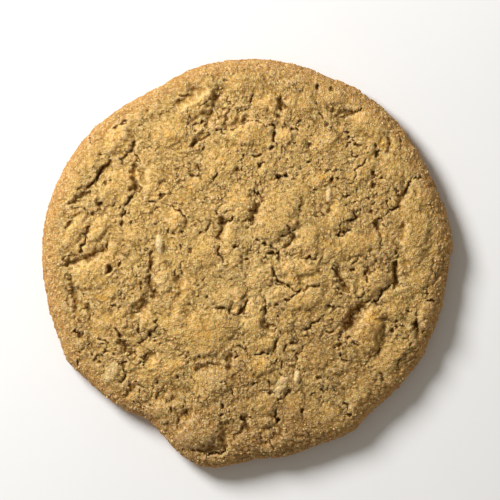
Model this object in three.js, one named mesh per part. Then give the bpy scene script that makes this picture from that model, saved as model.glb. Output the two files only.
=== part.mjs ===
// A round pecan shortbread cookie, lying flat. Millimetres, +Z up.
// The origin is at the middle of the underside. Angles are in degrees,
// counter-clockwise from +X when the cookie is seen from above.
import * as THREE from 'three';

// ---- Driving dimensions -------------------------------------------------

const MEAN_RADIUS = 37.75;
const CENTRE = { x: -0.15, y: 0.66 };

const RIM_WIDTH = 5.6;
const SHOULDER_HEIGHT = 6.2;
const GIRTH_HEIGHT = 2.3;
const CROWN_RISE = 3.0;
const FOOT_TUCK = 1.0;
const RIM_FULLNESS = 0.82;

const CRUMB_CELL = 4.8;
const CRUMB_RISE = 0.3;
const CRUMB_ROUNDNESS = 1.6;
const ROLL_CELL = 2.4;
const ROLL_RISE = 0.18;
const CRUST_CALM_WIDTH = 6.5;
const CRUST_CALM = 0.3;
const SEED = 11;

// The lumps of dough slumped towards this side, where they are steeper.
const DOUGH_LEAN = -43;
const MOUND_STEEPNESS = 2.4;
const LEAN_STEEPNESS = 0.8;

const TOP_RINGS = 36;
const RIM_LOOPS = 8;
const SECTORS = 6;

const COLOUR = 0xb08c54;
const ROUGHNESS = 0.85;
const METALNESS = 0;

// ---- Named features of the dough ----------------------------------------

// Where the outline swells out of the round (out > 0) or draws in.
const OUTLINE_SWELLS = [
  { name: 'right point', at: 4, spread: 2.5, out: 0.5 },
  { name: 'right side', at: 9, spread: 6.5, out: 0.85 },
  { name: 'upper right', at: 45, spread: 16, out: 0.6 },
  { name: 'upper right nick', at: 66, spread: 3, out: -0.35 },
  { name: 'top nick', at: 93, spread: 2, out: -0.15 },
  { name: 'upper left flat', at: 119.5, spread: 9.5, out: -1.3 },
  { name: 'left side', at: 168, spread: 17, out: 0.9 },
  { name: 'lower left side', at: 197, spread: 6, out: 0.4 },
  { name: 'lower left corner', at: 209, spread: 3.5, out: 0.95 },
  { name: 'lower left flat', at: 226, spread: 6, out: -0.6 },
  { name: 'dent beside the lip', at: 238.5, spread: 6, out: -2.2 },
  { name: 'lip', at: 258, spread: 6.5, out: 2 },
  { name: 'below the lip', at: 274, spread: 2.5, out: -0.4 },
  { name: 'lower flat', at: 290, spread: 4.5, out: -0.35 },
  { name: 'bottom corner', at: 300, spread: 3, out: 0.4 },
  { name: 'lower right flat', at: 314, spread: 9, out: -0.65 },
];

// Rounded lumps of dough: place, half sizes, turn of the long axis, rise.
const MOUNDS = [
  { name: 'broad middle', x: 5.3, y: 9.2, long: 5.9, wide: 4.2, turn: 55, rise: 0.95 },
  { name: 'left of middle', x: -1.6, y: 11, long: 3.7, wide: 3.2, turn: 80, rise: 0.75 },
  { name: 'small below middle', x: -3.8, y: 4.8, long: 3.6, wide: 1.7, turn: 80, rise: 0.55 },
  { name: 'right of middle', x: 11.3, y: 4.7, long: 2.9, wide: 2, turn: 75, rise: 0.5 },
  { name: 'flat island', x: 9.5, y: -0.8, long: 4, wide: 1.9, turn: -5, rise: 0.7 },
  { name: 'lower island', x: 9.8, y: -6, long: 4.4, wide: 2.9, turn: 15, rise: 0.7 },
  { name: 'golden lower left', x: -8, y: -13, long: 6, wide: 4.4, turn: 20, rise: 0.9 },
  { name: 'nut shaped', x: 1.1, y: -10.2, long: 3.6, wide: 2.2, turn: 100, rise: 0.55 },
  { name: 'above the bend', x: -3.6, y: -6, long: 3.3, wide: 2.2, turn: 10, rise: 0.6 },
  { name: 'orange ridge', x: 23, y: -12.6, long: 5.2, wide: 2.6, turn: 77, rise: 1.1 },
  { name: 'above the ridge', x: 23.8, y: -3.6, long: 2.9, wide: 2.4, turn: 30, rise: 0.85 },
  { name: 'right shelf', x: 31.2, y: 5.5, long: 7, wide: 3.2, turn: 95, rise: 0.75 },
  { name: 'upper right lump', x: 21.5, y: 17.5, long: 3.2, wide: 2.4, turn: 60, rise: 0.45 },
  { name: 'right cheek', x: 16.8, y: 9, long: 3.2, wide: 2.8, turn: 120, rise: 0.7 },
  { name: 'below the cheek', x: 19.5, y: 3.4, long: 4.4, wide: 2.6, turn: 15, rise: 0.35 },
  { name: 'top island', x: 0.2, y: 24.8, long: 4.4, wide: 2.8, turn: 10, rise: 0.85 },
  { name: 'top yellow', x: 4.2, y: 30.2, long: 2.8, wide: 1.5, turn: 0, rise: 0.6 },
  { name: 'upper left hill', x: -10, y: 30, long: 4.4, wide: 3, turn: 35, rise: 0.95 },
  { name: 'upper left saddle', x: -14.6, y: 24.8, long: 3.9, wide: 2.8, turn: 30, rise: 0.75 },
  { name: 'upper left rim lump', x: -24.6, y: 23.6, long: 3.7, wide: 2.2, turn: 55, rise: 0.95 },
  { name: 'left lump', x: -17.9, y: 15.6, long: 3.2, wide: 2.2, turn: 60, rise: 0.7 },
  { name: 'left twin outer', x: -32.5, y: 5.8, long: 3.7, wide: 1.7, turn: 50, rise: 0.75 },
  { name: 'left twin inner', x: -28.1, y: 6.4, long: 3.3, wide: 1.9, turn: 50, rise: 0.75 },
  { name: 'left shelf', x: -29, y: -2, long: 4.5, wide: 3.2, turn: 0, rise: 0.85 },
  { name: 'low pale', x: -6.5, y: -22.3, long: 4.6, wide: 3, turn: 20, rise: 0.6 },
  { name: 'lip', x: -9.6, y: -31.6, long: 5.4, wide: 3.2, turn: -8, rise: 1.05 },
  { name: 'bottom middle', x: 2.4, y: -26.8, long: 3.4, wide: 2.2, turn: 0, rise: 0.4 },
  { name: 'bottom right', x: 21, y: -24.2, long: 3.6, wide: 2, turn: 70, rise: 0.35 },
];

// Chips of nut that stand proud of the crust, in the same terms.
const NUT_CHIPS = [
  { name: 'chip lower left', x: -25.4, y: -20.4, long: 2.1, wide: 1.3, turn: 68, rise: 0.45 },
  { name: 'sliver left', x: -16.5, y: 3.5, long: 2, wide: 0.75, turn: 97, rise: 0.6 },
  { name: 'sliver right', x: 15.2, y: 12.8, long: 1.6, wide: 0.6, turn: 88, rise: 0.4 },
  { name: 'nut half below', x: 6.3, y: -23.2, long: 2.5, wide: 1.2, turn: 62, rise: 0.36 },
  { name: 'sliver below', x: 9.3, y: -21.4, long: 1.5, wide: 0.65, turn: 86, rise: 0.5 },
];

// Cracks and valleys between the lumps, each along a short bent line.
const CRACKS = [
  { name: 'upper left rim', width: 1.5, depth: 1,
    path: [[-23.2, 20.6], [-26.4, 18.4], [-28.6, 14.6], [-33.2, 11.8]] },
  { name: 'left rim top', width: 1.3, depth: 0.6, path: [[-25, 25.3], [-22.8, 26.6]] },
  { name: 'left lump side', width: 1.6, depth: 0.9, path: [[-21.4, 14], [-20.8, 18]] },
  { name: 'above the twins', width: 1.4, depth: 0.8, path: [[-27.9, 11.8], [-27.8, 10.4]] },
  { name: 'left shelf top', width: 1.6, depth: 0.9, path: [[-34, -0.2], [-27, 2.6]] },
  { name: 'long upper', width: 1.4, depth: 0.8,
    path: [[-10.6, 22.4], [-7, 23.8], [-2.6, 25.8], [0.4, 27.4]] },
  { name: 'outer side of the hill', width: 1.5, depth: 0.8, path: [[-13.4, 31.2], [-10.6, 32.4]] },
  { name: 'inner side of the hill', width: 1.5, depth: 0.6, path: [[-8, 27.4], [-5.4, 32.2]] },
  { name: 'top drop', width: 1.4, depth: 0.65, path: [[4.8, 25.6], [4.6, 22]] },
  { name: 'top hole', width: 1.5, depth: 0.8, path: [[6.4, 30.6], [6.6, 29.2]] },
  { name: 'upper right branch', width: 1.5, depth: 0.8,
    path: [[14.6, 28.2], [17.8, 27.8], [21.4, 30]] },
  { name: 'upper right drop', width: 1.4, depth: 0.6, path: [[19.4, 26], [20.6, 22.4]] },
  { name: 'beside the cheek', width: 1.4, depth: 0.6,
    path: [[20.2, 9.6], [19.2, 6.2], [17.2, 5.2]] },
  { name: 'right of the cheek', width: 1.4, depth: 0.6, path: [[24.2, 7.8], [25, 5]] },
  { name: 'right arc', width: 1.4, depth: 0.7,
    path: [[32.2, 16.6], [29.4, 13.4], [26.6, 10]] },
  { name: 'right cleft', width: 1.6, depth: 1,
    path: [[27.8, 2.2], [27.4, -1.6], [27.8, -4.2]] },
  { name: 'main right valley', width: 1.8, depth: 1.1,
    path: [[26.2, -4.4], [22.4, -6.8], [19.6, -9.2], [18.4, -12]] },
  { name: 'right of the ridge', width: 2.4, depth: 0.5,
    path: [[25.4, -11], [24.9, -14], [23.7, -17.2]] },
  { name: 'right rim hole', width: 1.4, depth: 0.7, path: [[31.3, -11], [31.8, -12.8]] },
  { name: 'right valley upper', width: 1.6, depth: 1,
    path: [[15.8, -0.2], [17.2, -2], [18.4, -5.4]] },
  { name: 'beside the broad middle', width: 1.6, depth: 0.9,
    path: [[2.4, 12.6], [1.2, 8.6], [0.2, 7.6]] },
  { name: 'under the broad middle', width: 1.5, depth: 0.8,
    path: [[1.4, 4.8], [5.4, 2.4], [7.2, 2.2]] },
  { name: 'left of the small mound', width: 1.5, depth: 0.8,
    path: [[-3, 8.2], [-5, 8], [-5.2, 4.4], [-4.4, 0.2]] },
  { name: 'island hook', width: 1.5, depth: 0.9,
    path: [[5, -1.2], [6.2, -3.6], [9.2, -4.8]] },
  { name: 'lower bend', width: 1.5, depth: 0.8,
    path: [[-5.6, -8.4], [-1.8, -9.4], [0.4, -7]] },
  { name: 'under the nut shape', width: 1.4, depth: 0.7, path: [[3, -11.4], [3.6, -12.6]] },
  { name: 'lower diagonal', width: 1.6, depth: 0.6,
    path: [[14.4, -9.6], [11, -12], [7, -14.4]] },
  { name: 'left valley', width: 2, depth: 0.7,
    path: [[-18.2, -1.6], [-18.4, -5.4], [-21.6, -8.6]] },
  { name: 'beside the golden mound', width: 1.4, depth: 0.7, path: [[-17.4, -11.2], [-18, -13.6]] },
  { name: 'left hollow', width: 1.8, depth: 1, path: [[-33.2, -4.4], [-32.8, -8.8]] },
  { name: 'lower left pit', width: 1.6, depth: 1, path: [[-24.4, -13.8], [-22, -17]] },
  { name: 'left above the lip', width: 1.4, depth: 0.8, path: [[-11.6, -27.8], [-11.2, -29.2]] },
  { name: 'right above the lip', width: 1.5, depth: 0.9, path: [[-1.2, -28.2], [-0.5, -31]] },
  { name: 'lip crack', width: 1.7, depth: 1.2,
    path: [[-12.4, -34.4], [-9, -35.4], [-6, -35.4], [-4.2, -33.8], [-4.6, -32]] },
];

// ---- Small maths ----------------------------------------------------------

const TINY = 1e-6;
const radians = THREE.MathUtils.degToRad;
const degrees = THREE.MathUtils.radToDeg;

function smooth(value) {
  return THREE.MathUtils.smoothstep(value, 0, 1);
}

function turnsBetween(angle, other) {
  return THREE.MathUtils.euclideanModulo(angle - other + 180, 360) - 180;
}

// A repeatable random number from 0 to 1 for one cell of a square lattice.
function cellRandom(column, row, layer) {
  let bits = Math.imul(column, 374761393) + Math.imul(row, 668265263);
  bits = (bits + Math.imul(layer, 1442695041)) | 0;
  bits = Math.imul(bits ^ (bits >>> 13), 1274126177);
  return ((bits ^ (bits >>> 16)) >>> 0) / 4294967296;
}

// Soft rolling noise from -1 to 1 with lumps about one cell across.
function rollingNoise(x, y, cell, layer) {
  const column = Math.floor(x / cell);
  const row = Math.floor(y / cell);
  const across = smooth(x / cell - column);
  const along = smooth(y / cell - row);
  const near = THREE.MathUtils.lerp(
    cellRandom(column, row, layer), cellRandom(column + 1, row, layer), across);
  const far = THREE.MathUtils.lerp(
    cellRandom(column, row + 1, layer), cellRandom(column + 1, row + 1, layer), across);
  return 2 * THREE.MathUtils.lerp(near, far, along) - 1;
}

// Crumb relief: round-topped lumps, one to a cell, with creases between them.
function crumbNoise(x, y, cell, layer) {
  const column = Math.floor(x / cell);
  const row = Math.floor(y / cell);
  let nearest = Infinity;
  for (let i = column - 1; i <= column + 1; i += 1) {
    for (let j = row - 1; j <= row + 1; j += 1) {
      const lumpX = (i + cellRandom(i, j, layer)) * cell;
      const lumpY = (j + cellRandom(i, j, layer + 1)) * cell;
      nearest = Math.min(nearest, Math.hypot(x - lumpX, y - lumpY) / cell);
    }
  }
  return 1 - CRUMB_ROUNDNESS * nearest * nearest;
}

function distanceToSegment(x, y, start, end) {
  const run = [end[0] - start[0], end[1] - start[1]];
  const along = ((x - start[0]) * run[0] + (y - start[1]) * run[1])
    / (run[0] * run[0] + run[1] * run[1]);
  const held = THREE.MathUtils.clamp(along, 0, 1);
  return Math.hypot(x - start[0] - held * run[0], y - start[1] - held * run[1]);
}

// ---- Form of the cookie ---------------------------------------------------

// Distance from the centre to the outline in one direction.
function outlineRadius(angle) {
  let radius = MEAN_RADIUS;
  for (const swell of OUTLINE_SWELLS) {
    const away = turnsBetween(angle, swell.at) / swell.spread;
    radius += swell.out * Math.exp(-0.5 * away * away);
  }
  return radius;
}

// How far a way points down the lean of the dough, from -1 to 1.
function downhill(across, up) {
  const along = across * Math.cos(radians(DOUGH_LEAN)) + up * Math.sin(radians(DOUGH_LEAN));
  return along / Math.max(Math.hypot(across, up), TINY);
}

function moundHeight(mound, x, y) {
  const turn = radians(mound.turn);
  const along = (x - mound.x) * Math.cos(turn) + (y - mound.y) * Math.sin(turn);
  const across = (y - mound.y) * Math.cos(turn) - (x - mound.x) * Math.sin(turn);
  const reach = Math.hypot(along / mound.long, across / mound.wide);
  const steepness = MOUND_STEEPNESS + LEAN_STEEPNESS * downhill(x - mound.x, y - mound.y);
  return mound.rise * Math.max(1 - reach ** steepness, 0);
}

function crackDepth(crack, x, y) {
  let nearest = Infinity;
  for (let i = 1; i < crack.path.length; i += 1) {
    nearest = Math.min(nearest, distanceToSegment(x, y, crack.path[i - 1], crack.path[i]));
  }
  return crack.depth * (1 - smooth(nearest / crack.width));
}

// How far the crust stands out of (or sinks into) the plain rounded form.
// The baked edge is calmer than the craggy top.
function crustRelief(x, y, inward) {
  const craggy = CRUST_CALM + (1 - CRUST_CALM) * smooth(inward / CRUST_CALM_WIDTH);
  let relief = CRUMB_RISE * craggy * crumbNoise(x, y, CRUMB_CELL, SEED);
  relief += ROLL_RISE * craggy * rollingNoise(x, y, ROLL_CELL, SEED + 2);
  for (const mound of [...MOUNDS, ...NUT_CHIPS]) {
    relief += moundHeight(mound, x, y);
  }
  let sunk = 0;
  for (const crack of CRACKS) {
    sunk = Math.max(sunk, crackDepth(crack, x, y));
  }
  return relief - sunk;
}

// A point of the broad top: share is 0 at the centre and 1 at the shoulder.
function topPoint(angle, share) {
  const radius = share * (outlineRadius(angle) - RIM_WIDTH);
  const x = CENTRE.x + radius * Math.cos(radians(angle));
  const y = CENTRE.y + radius * Math.sin(radians(angle));
  const crown = CROWN_RISE * (1 - share * share);
  const inward = outlineRadius(angle) - radius;
  return new THREE.Vector3(x, y, SHOULDER_HEIGHT + crown + crustRelief(x, y, inward));
}

// A point of the rounded rim: lean is 90 at the shoulder, 0 at the widest
// girth and -90 at the foot, where the underside begins.
function rimPoint(angle, lean) {
  const outward = Math.cos(radians(lean)) ** RIM_FULLNESS;
  const upward = Math.sin(radians(Math.abs(lean))) ** RIM_FULLNESS;
  const above = lean > 0;
  const inset = (above ? RIM_WIDTH : FOOT_TUCK) * (1 - outward);
  const height = above
    ? GIRTH_HEIGHT + (SHOULDER_HEIGHT - GIRTH_HEIGHT) * upward
    : GIRTH_HEIGHT * (1 - upward);
  const radius = outlineRadius(angle) - inset;
  const x = radius * Math.cos(radians(angle)) + CENTRE.x;
  const y = radius * Math.sin(radians(angle)) + CENTRE.y;
  const relief = crustRelief(x, y, inset) * smooth(upward) * (above ? 1 : 0);
  return new THREE.Vector3(x, y, height + relief);
}

// ---- The closed surface ---------------------------------------------------

// Ring k of the top holds 6k points, so that all facets are about one size.
function ringPoints(ring) {
  const count = SECTORS * ring;
  const points = [];
  for (let i = 0; i < count; i += 1) {
    points.push(topPoint(i * 360 / count, ring / TOP_RINGS));
  }
  return points;
}

function rimLoopPoints(loop) {
  const count = SECTORS * TOP_RINGS;
  const lean = 90 - 180 * loop / RIM_LOOPS;
  const points = [];
  for (let i = 0; i < count; i += 1) {
    points.push(rimPoint(i * 360 / count, lean));
  }
  return points;
}

// Facets between ring k - 1 and ring k, sector by sector.
function ringFacets(ring, innerStart, outerStart) {
  const innerCount = Math.max(SECTORS * (ring - 1), 1);
  const outerCount = SECTORS * ring;
  const facets = [];
  for (let sector = 0; sector < SECTORS; sector += 1) {
    for (let step = 0; step < ring; step += 1) {
      const outer = sector * ring + step;
      const inner = sector * (ring - 1) + step;
      const a = innerStart + inner % innerCount;
      const b = outerStart + outer;
      const c = outerStart + (outer + 1) % outerCount;
      facets.push(a, b, c);
      if (step < ring - 1) {
        facets.push(a, c, innerStart + (inner + 1) % innerCount);
      }
    }
  }
  return facets;
}

function loopFacets(upperStart, lowerStart, count) {
  const facets = [];
  for (let i = 0; i < count; i += 1) {
    const next = (i + 1) % count;
    facets.push(upperStart + i, lowerStart + i, lowerStart + next);
    facets.push(upperStart + i, lowerStart + next, upperStart + next);
  }
  return facets;
}

function undersideFacets(middle, loopStart, count) {
  const facets = [];
  for (let i = 0; i < count; i += 1) {
    facets.push(middle, loopStart + (i + 1) % count, loopStart + i);
  }
  return facets;
}

function cookieGeometry() {
  const points = [topPoint(0, 0)];
  const facets = [];
  let innerStart = 0;
  for (let ring = 1; ring <= TOP_RINGS; ring += 1) {
    const outerStart = points.length;
    points.push(...ringPoints(ring));
    facets.push(...ringFacets(ring, innerStart, outerStart));
    innerStart = outerStart;
  }
  const count = SECTORS * TOP_RINGS;
  for (let loop = 1; loop <= RIM_LOOPS; loop += 1) {
    const lowerStart = points.length;
    points.push(...rimLoopPoints(loop));
    facets.push(...loopFacets(innerStart, lowerStart, count));
    innerStart = lowerStart;
  }
  points.push(new THREE.Vector3(CENTRE.x, CENTRE.y, 0));
  facets.push(...undersideFacets(points.length - 1, innerStart, count));

  const geometry = new THREE.BufferGeometry().setFromPoints(points);
  geometry.setIndex(facets);
  geometry.computeVertexNormals();
  return geometry;
}

function makeCookie() {
  const crust = new THREE.MeshStandardMaterial({
    color: COLOUR, roughness: ROUGHNESS, metalness: METALNESS,
  });
  const cookie = new THREE.Mesh(cookieGeometry(), crust);
  cookie.name = 'cookie';
  return cookie;
}

const model = new THREE.Group();
model.add(makeCookie());

export default model;
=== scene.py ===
"""A pecan shortbread cookie, lying craggy side up in soft studio light.

Lengths are in millimetres until a mesh is written, and angles are in degrees,
counter-clockwise from +X with the cookie seen from above.
"""

from __future__ import annotations

import itertools
import logging
import math
from dataclasses import dataclass, field
from enum import Enum, IntEnum

import bpy
import numpy as np
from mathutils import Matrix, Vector


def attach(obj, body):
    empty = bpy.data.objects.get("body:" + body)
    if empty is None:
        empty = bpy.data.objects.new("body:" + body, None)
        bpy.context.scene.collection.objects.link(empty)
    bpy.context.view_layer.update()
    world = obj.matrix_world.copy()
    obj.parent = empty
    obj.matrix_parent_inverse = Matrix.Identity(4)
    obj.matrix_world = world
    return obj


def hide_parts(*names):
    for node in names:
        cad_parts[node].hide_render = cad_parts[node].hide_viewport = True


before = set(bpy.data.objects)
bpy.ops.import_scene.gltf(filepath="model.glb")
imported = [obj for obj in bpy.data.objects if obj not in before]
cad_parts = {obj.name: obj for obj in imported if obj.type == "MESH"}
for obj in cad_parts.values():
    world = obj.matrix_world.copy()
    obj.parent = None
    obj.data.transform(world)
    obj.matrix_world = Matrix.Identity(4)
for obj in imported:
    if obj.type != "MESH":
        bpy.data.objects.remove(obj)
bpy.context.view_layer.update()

LOG = logging.getLogger("cookie")
NODE = "cookie"
MM = 0.001
SEED = 11

# The surface is laid in rings of six equal sectors.
SECTORS = 6

# The dough leans down this way. On that side lumps are steeper, cracks are wider, and
# the dough beside a crack has dropped by a share of its depth.
DOUGH_LEAN = -43.0
DOME_STEEPNESS = 2.4
DOME_LEAN = 0.8
CRACK_LEAN = 0.3
DROP_SHARE = 0.35
DROP_REACH = 0.9

# A crack narrows to no less than this share of its width, and only openings narrower than
# this half width get painted shade in the cracks.
NARROWEST_CRACK = 0.3
WIDEST_COLOURED_CRACK = 1.0

Array = np.ndarray
Colour = tuple[float, float, float]
Node = bpy.types.Node
Socket = bpy.types.NodeSocket
Value = float | Colour | Socket


class Layer(IntEnum):
    """The seed, or the first layer of random draws, of each kind of noise or scatter."""

    CRUMB = SEED
    ROLL = SEED + 2
    SMALL_BREAKS = SEED + 5
    COARSE_CRUMBLE = 40
    MIDDLE_CRUMBLE = 50
    FINE_CRUMBLE = 60
    WAVY = SEED + 70
    RAGGED = SEED + 80
    CRACK_WIDTH = SEED + 84
    GRIT = SEED + 88
    SOLE = SEED + 90
    DOUGH_CRUMBS = SEED + 101
    SUGAR_GRAINS = SEED + 102


# ---- Small maths ------------------------------------------------------------


def smooth(value: Array) -> Array:
    """Ease a value from 0 to 1, flat outside that range."""
    held = np.clip(value, 0.0, 1.0)
    return held * held * (3.0 - 2.0 * held)


def most(masks: list[Array]) -> Array:
    """Combine masks, the strongest at each place."""
    return np.max(np.stack(masks), axis=0)


def sight(red: int, green: int, blue: int) -> Colour:
    """Turn a colour as seen, from 0 to 255 a channel, into linear light."""
    seen = [channel / 255.0 for channel in (red, green, blue)]
    return tuple(c / 12.92 if c < 0.04045 else ((c + 0.055) / 1.055) ** 2.4 for c in seen)


def cell_random(cells: Array, layer: int) -> Array:
    """Draw a repeatable number from 0 to 1 for each cell of a lattice.

    Args:
        cells: Whole cell numbers, one row of two or three for each point.
        layer: The layer of draws, so that layers don't repeat each other.

    Returns:
        One number for each row.
    """
    axis_primes = (374761393, 668265263, 2246822519)
    layer_prime = 1442695041
    mixing_prime = np.uint32(1274126177)
    bits = np.full(len(cells), (layer * layer_prime) & 0xFFFFFFFF, dtype=np.uint32)
    for column, prime in zip(cells.T, axis_primes):
        bits += column.astype(np.int64).astype(np.uint32) * np.uint32(prime)
    bits = (bits ^ (bits >> np.uint32(13))) * mixing_prime
    return (bits ^ (bits >> np.uint32(16))) / 2.0**32


def rolling_noise(points: Array, cell: float, layer: int) -> Array:
    """Soft rolling noise.

    Args:
        points: Places in two or three dimensions, one a row.
        cell: The size of a lump.
        layer: The layer of draws.

    Returns:
        Values from -1 to 1, one for each place.
    """
    home = np.floor(points / cell)
    share = smooth(points / cell - home)
    total = np.zeros(len(points))
    for corner in itertools.product((0, 1), repeat=points.shape[1]):
        weight = np.prod(np.where(corner, share, 1.0 - share), axis=1)
        total += weight * cell_random(home + corner, layer)
    return 2.0 * total - 1.0


@dataclass(frozen=True)
class Lumps:
    """Lumps of one size that fill space, one to a cell.

    nearest and second are the distances to the nearest two lump centres, in
    cells, and draw is a random number that all of one lump shares.
    """

    nearest: Array
    second: Array
    draw: Array

    def crease(self, width: float) -> Array:
        """Mask the seam between two lumps, 1 in the seam and 0 away from it."""
        return 1.0 - smooth((self.second - self.nearest) / width)


def lumps(points: Array, cell: float, layer: int) -> Lumps:
    """Find the lump that each place belongs to.

    Args:
        points: Places in two or three dimensions, one a row.
        cell: The size of a lump.
        layer: The layer of draws.

    Returns:
        The distances and the draw for each place.
    """
    places = points / cell
    home = np.floor(places)
    nearest = np.full(len(points), np.inf)
    second = np.full(len(points), np.inf)
    draw = np.zeros(len(points))
    sides = range(points.shape[1])
    for step in itertools.product((-1, 0, 1), repeat=points.shape[1]):
        cells = home + step
        centres = cells + np.stack([cell_random(cells, layer + side) for side in sides], axis=1)
        away = np.linalg.norm(places - centres, axis=1)
        closer = away < nearest
        second = np.where(closer, nearest, np.minimum(second, away))
        draw = np.where(closer, cell_random(cells, layer + len(sides)), draw)
        nearest = np.where(closer, away, nearest)
    return Lumps(nearest, second, draw)


def warped(points: Array, cell: float, reach: float, layer: int) -> Array:
    """Shift places by soft noise, so that forms drawn on them come out ragged."""
    shifts = [rolling_noise(points, cell, layer + side) for side in range(points.shape[1])]
    return points + reach * np.stack(shifts, axis=1)


def off_line(x: Array, y: Array, start: tuple, end: tuple) -> tuple[Array, Array]:
    """Measure the way across and up from a straight piece of line to places.

    Args:
        x: Places across.
        y: Places up.
        start: Where the line starts.
        end: Where it ends.

    Returns:
        The ways across and up.
    """
    run_x = end[0] - start[0]
    run_y = end[1] - start[1]
    along = ((x - start[0]) * run_x + (y - start[1]) * run_y) / (run_x**2 + run_y**2)
    held = np.clip(along, 0.0, 1.0)
    return x - start[0] - held * run_x, y - start[1] - held * run_y


def downhill(across: Array, up: Array) -> Array:
    """Measure how far a way points down the lean of the dough, from -1 to 1.

    Args:
        across: The way's part across.
        up: Its part up.

    Returns:
        1 straight down the lean, and -1 straight up it.
    """
    lean = math.radians(DOUGH_LEAN)
    along = across * math.cos(lean) + up * math.sin(lean)
    return along / np.maximum(np.hypot(across, up), 1e-6)


# ---- Features of the dough ---------------------------------------------------


@dataclass(frozen=True)
class Swell:
    """A place where the outline swells out of the round, or draws in."""

    at: float
    spread: float
    out: float

    def push(self, angle: Array) -> Array:
        """Measure how far the outline moves out at each angle."""
        away = (np.mod(angle - self.at + 180.0, 360.0) - 180.0) / self.spread
        return self.out * np.exp(-0.5 * away**2)


@dataclass(frozen=True)
class Mound:
    """A rounded lump of dough, long along its turned axis."""

    x: float
    y: float
    long: float
    wide: float
    turn: float
    rise: float

    def reach(self, x: Array, y: Array) -> Array:
        """Measure the way from the middle, 1 at the mound's nominal edge.

        Args:
            x: Places across.
            y: Places up.

        Returns:
            The ways, as shares of the mound's size.
        """
        turn = math.radians(self.turn)
        along = (x - self.x) * math.cos(turn) + (y - self.y) * math.sin(turn)
        across = (y - self.y) * math.cos(turn) - (x - self.x) * math.sin(turn)
        return np.hypot(along / self.long, across / self.wide)

    def lift(self, x: Array, y: Array) -> Array:
        """Measure how far the mound lifts the crust, steeper down the lean."""
        steepness = DOME_STEEPNESS + DOME_LEAN * downhill(x - self.x, y - self.y)
        return self.rise * np.clip(1.0 - self.reach(x, y) ** steepness, 0.0, 1.0)

    def cover(self, x: Array, y: Array, flat: float, slope: float) -> Array:
        """Mask the mound, 1 on its top and 0 outside its slope."""
        return 1.0 - smooth((self.reach(x, y) - flat) / slope)


@dataclass(frozen=True)
class NutChip(Mound):
    """A chip of nut, which can be paler than the dough."""

    pale: float = 0.85


class Opening(Enum):
    """How far a crack has opened: its half width and its depth."""

    THIN = (0.21, 0.45)
    FINE = (0.27, 0.62)
    OPEN = (0.35, 0.9)
    GAPING = (0.5, 1.3)
    TROUGH = (1.05, 0.85)
    GULLY = (1.25, 1.25)
    HOLLOW = (1.9, 1.6)
    VALLEY = (2.4, 0.55)

    @property
    def half_width(self) -> float:
        """Half the width at the crust."""
        return self.value[0]

    @property
    def depth(self) -> float:
        """The depth along the middle."""
        return self.value[1]


@dataclass(frozen=True)
class Crack:
    """A crack along a short bent line."""

    opening: Opening
    path: tuple[tuple[float, float], ...]

    def near(self, x: Array, y: Array) -> Array:
        """Find the places close enough for the crack to reach them.

        Args:
            x: Places across.
            y: Places up.

        Returns:
            The numbers of those places.
        """
        across, up = zip(*self.path)
        room = self.opening.half_width + 3.0 * DROP_REACH
        beside = (x > min(across) - room) & (x < max(across) + room)
        return np.flatnonzero(beside & (y > min(up) - room) & (y < max(up) + room))

    def cut(self, x: Array, y: Array, wider: Array) -> tuple[Array, Array]:
        """Measure how deep the crack goes and how open it is.

        The dough down the lean of the crack has dropped a little, so its far
        bank slopes gently back up.

        Args:
            x: Places across.
            y: Places up.
            wider: How much wider or narrower the crack is at each place.

        Returns:
            The depths, and a mask of the open part.
        """
        nearest = np.full(len(x), np.inf)
        side = np.zeros(len(x))
        for start, end in zip(self.path, self.path[1:]):
            across, up = off_line(x, y, start, end)
            away = np.hypot(across, up)
            closer = away < nearest
            side = np.where(closer, downhill(across, up), side)
            nearest = np.where(closer, away, nearest)
        half_width = self.opening.half_width
        width = np.maximum(half_width * (1.0 + CRACK_LEAN * side) + wider, NARROWEST_CRACK * half_width)
        opened = 1.0 - smooth(nearest / width)
        dropped = DROP_SHARE * np.clip(side, 0.0, 1.0) * np.exp(-((nearest / DROP_REACH) ** 2))
        return self.opening.depth * np.maximum(opened, dropped), opened


@dataclass(frozen=True)
class Pit:
    """A round hole in the crust, flat in its middle, with a soft bank."""

    x: float
    y: float
    reach: float = 0.28
    depth: float = 0.6
    flat: float = 0.3
    bank: float = 0.9

    def sunk(self, x: Array, y: Array) -> Array:
        """Measure how deep the pit goes at each place."""
        away = np.hypot(x - self.x, y - self.y)
        return self.depth * (1.0 - smooth((away / self.reach - self.flat) / self.bank))


@dataclass(frozen=True)
class Spot:
    """A soft-edged patch of another colour, even in its middle."""

    x: float
    y: float
    reach: float
    strength: float = 1.0
    flat: float = 0.2
    fade: float = 0.9

    def mask(self, x: Array, y: Array) -> Array:
        """Mask the patch, from 0 outside to its strength in the middle."""
        away = np.hypot(x - self.x, y - self.y)
        return self.strength * (1.0 - smooth((away / self.reach - self.flat) / self.fade))


def made_of(kind: type, rows: tuple) -> tuple:
    """Make one thing of a kind from each row of sizes."""
    return tuple(itertools.starmap(kind, rows))


# The swells and dents of the outline. The solid has all but the five narrower than 1.5 degrees.
# Each row: at, spread, out.
OUTLINE_SWELLS = made_of(Swell, (
    (4, 2.5, 0.5), (9, 6.5, 0.85), (45, 16, 0.6), (66, 3, -0.35), (93, 2, -0.15), (119.5, 9.5, -1.3),
    (168, 17, 0.9), (197, 6, 0.4), (209, 3.5, 0.95), (226, 6, -0.6), (238.5, 6, -2.2), (258, 6.5, 2),
    (274, 2.5, -0.4), (290, 4.5, -0.35), (300, 3, 0.4), (303, 1, 0.2), (309.5, 1.2, -0.25), (314, 9, -0.65),
    (320.5, 1, 0.25), (331.5, 1.1, 0.22), (337, 1.4, -0.2),
))

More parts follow.
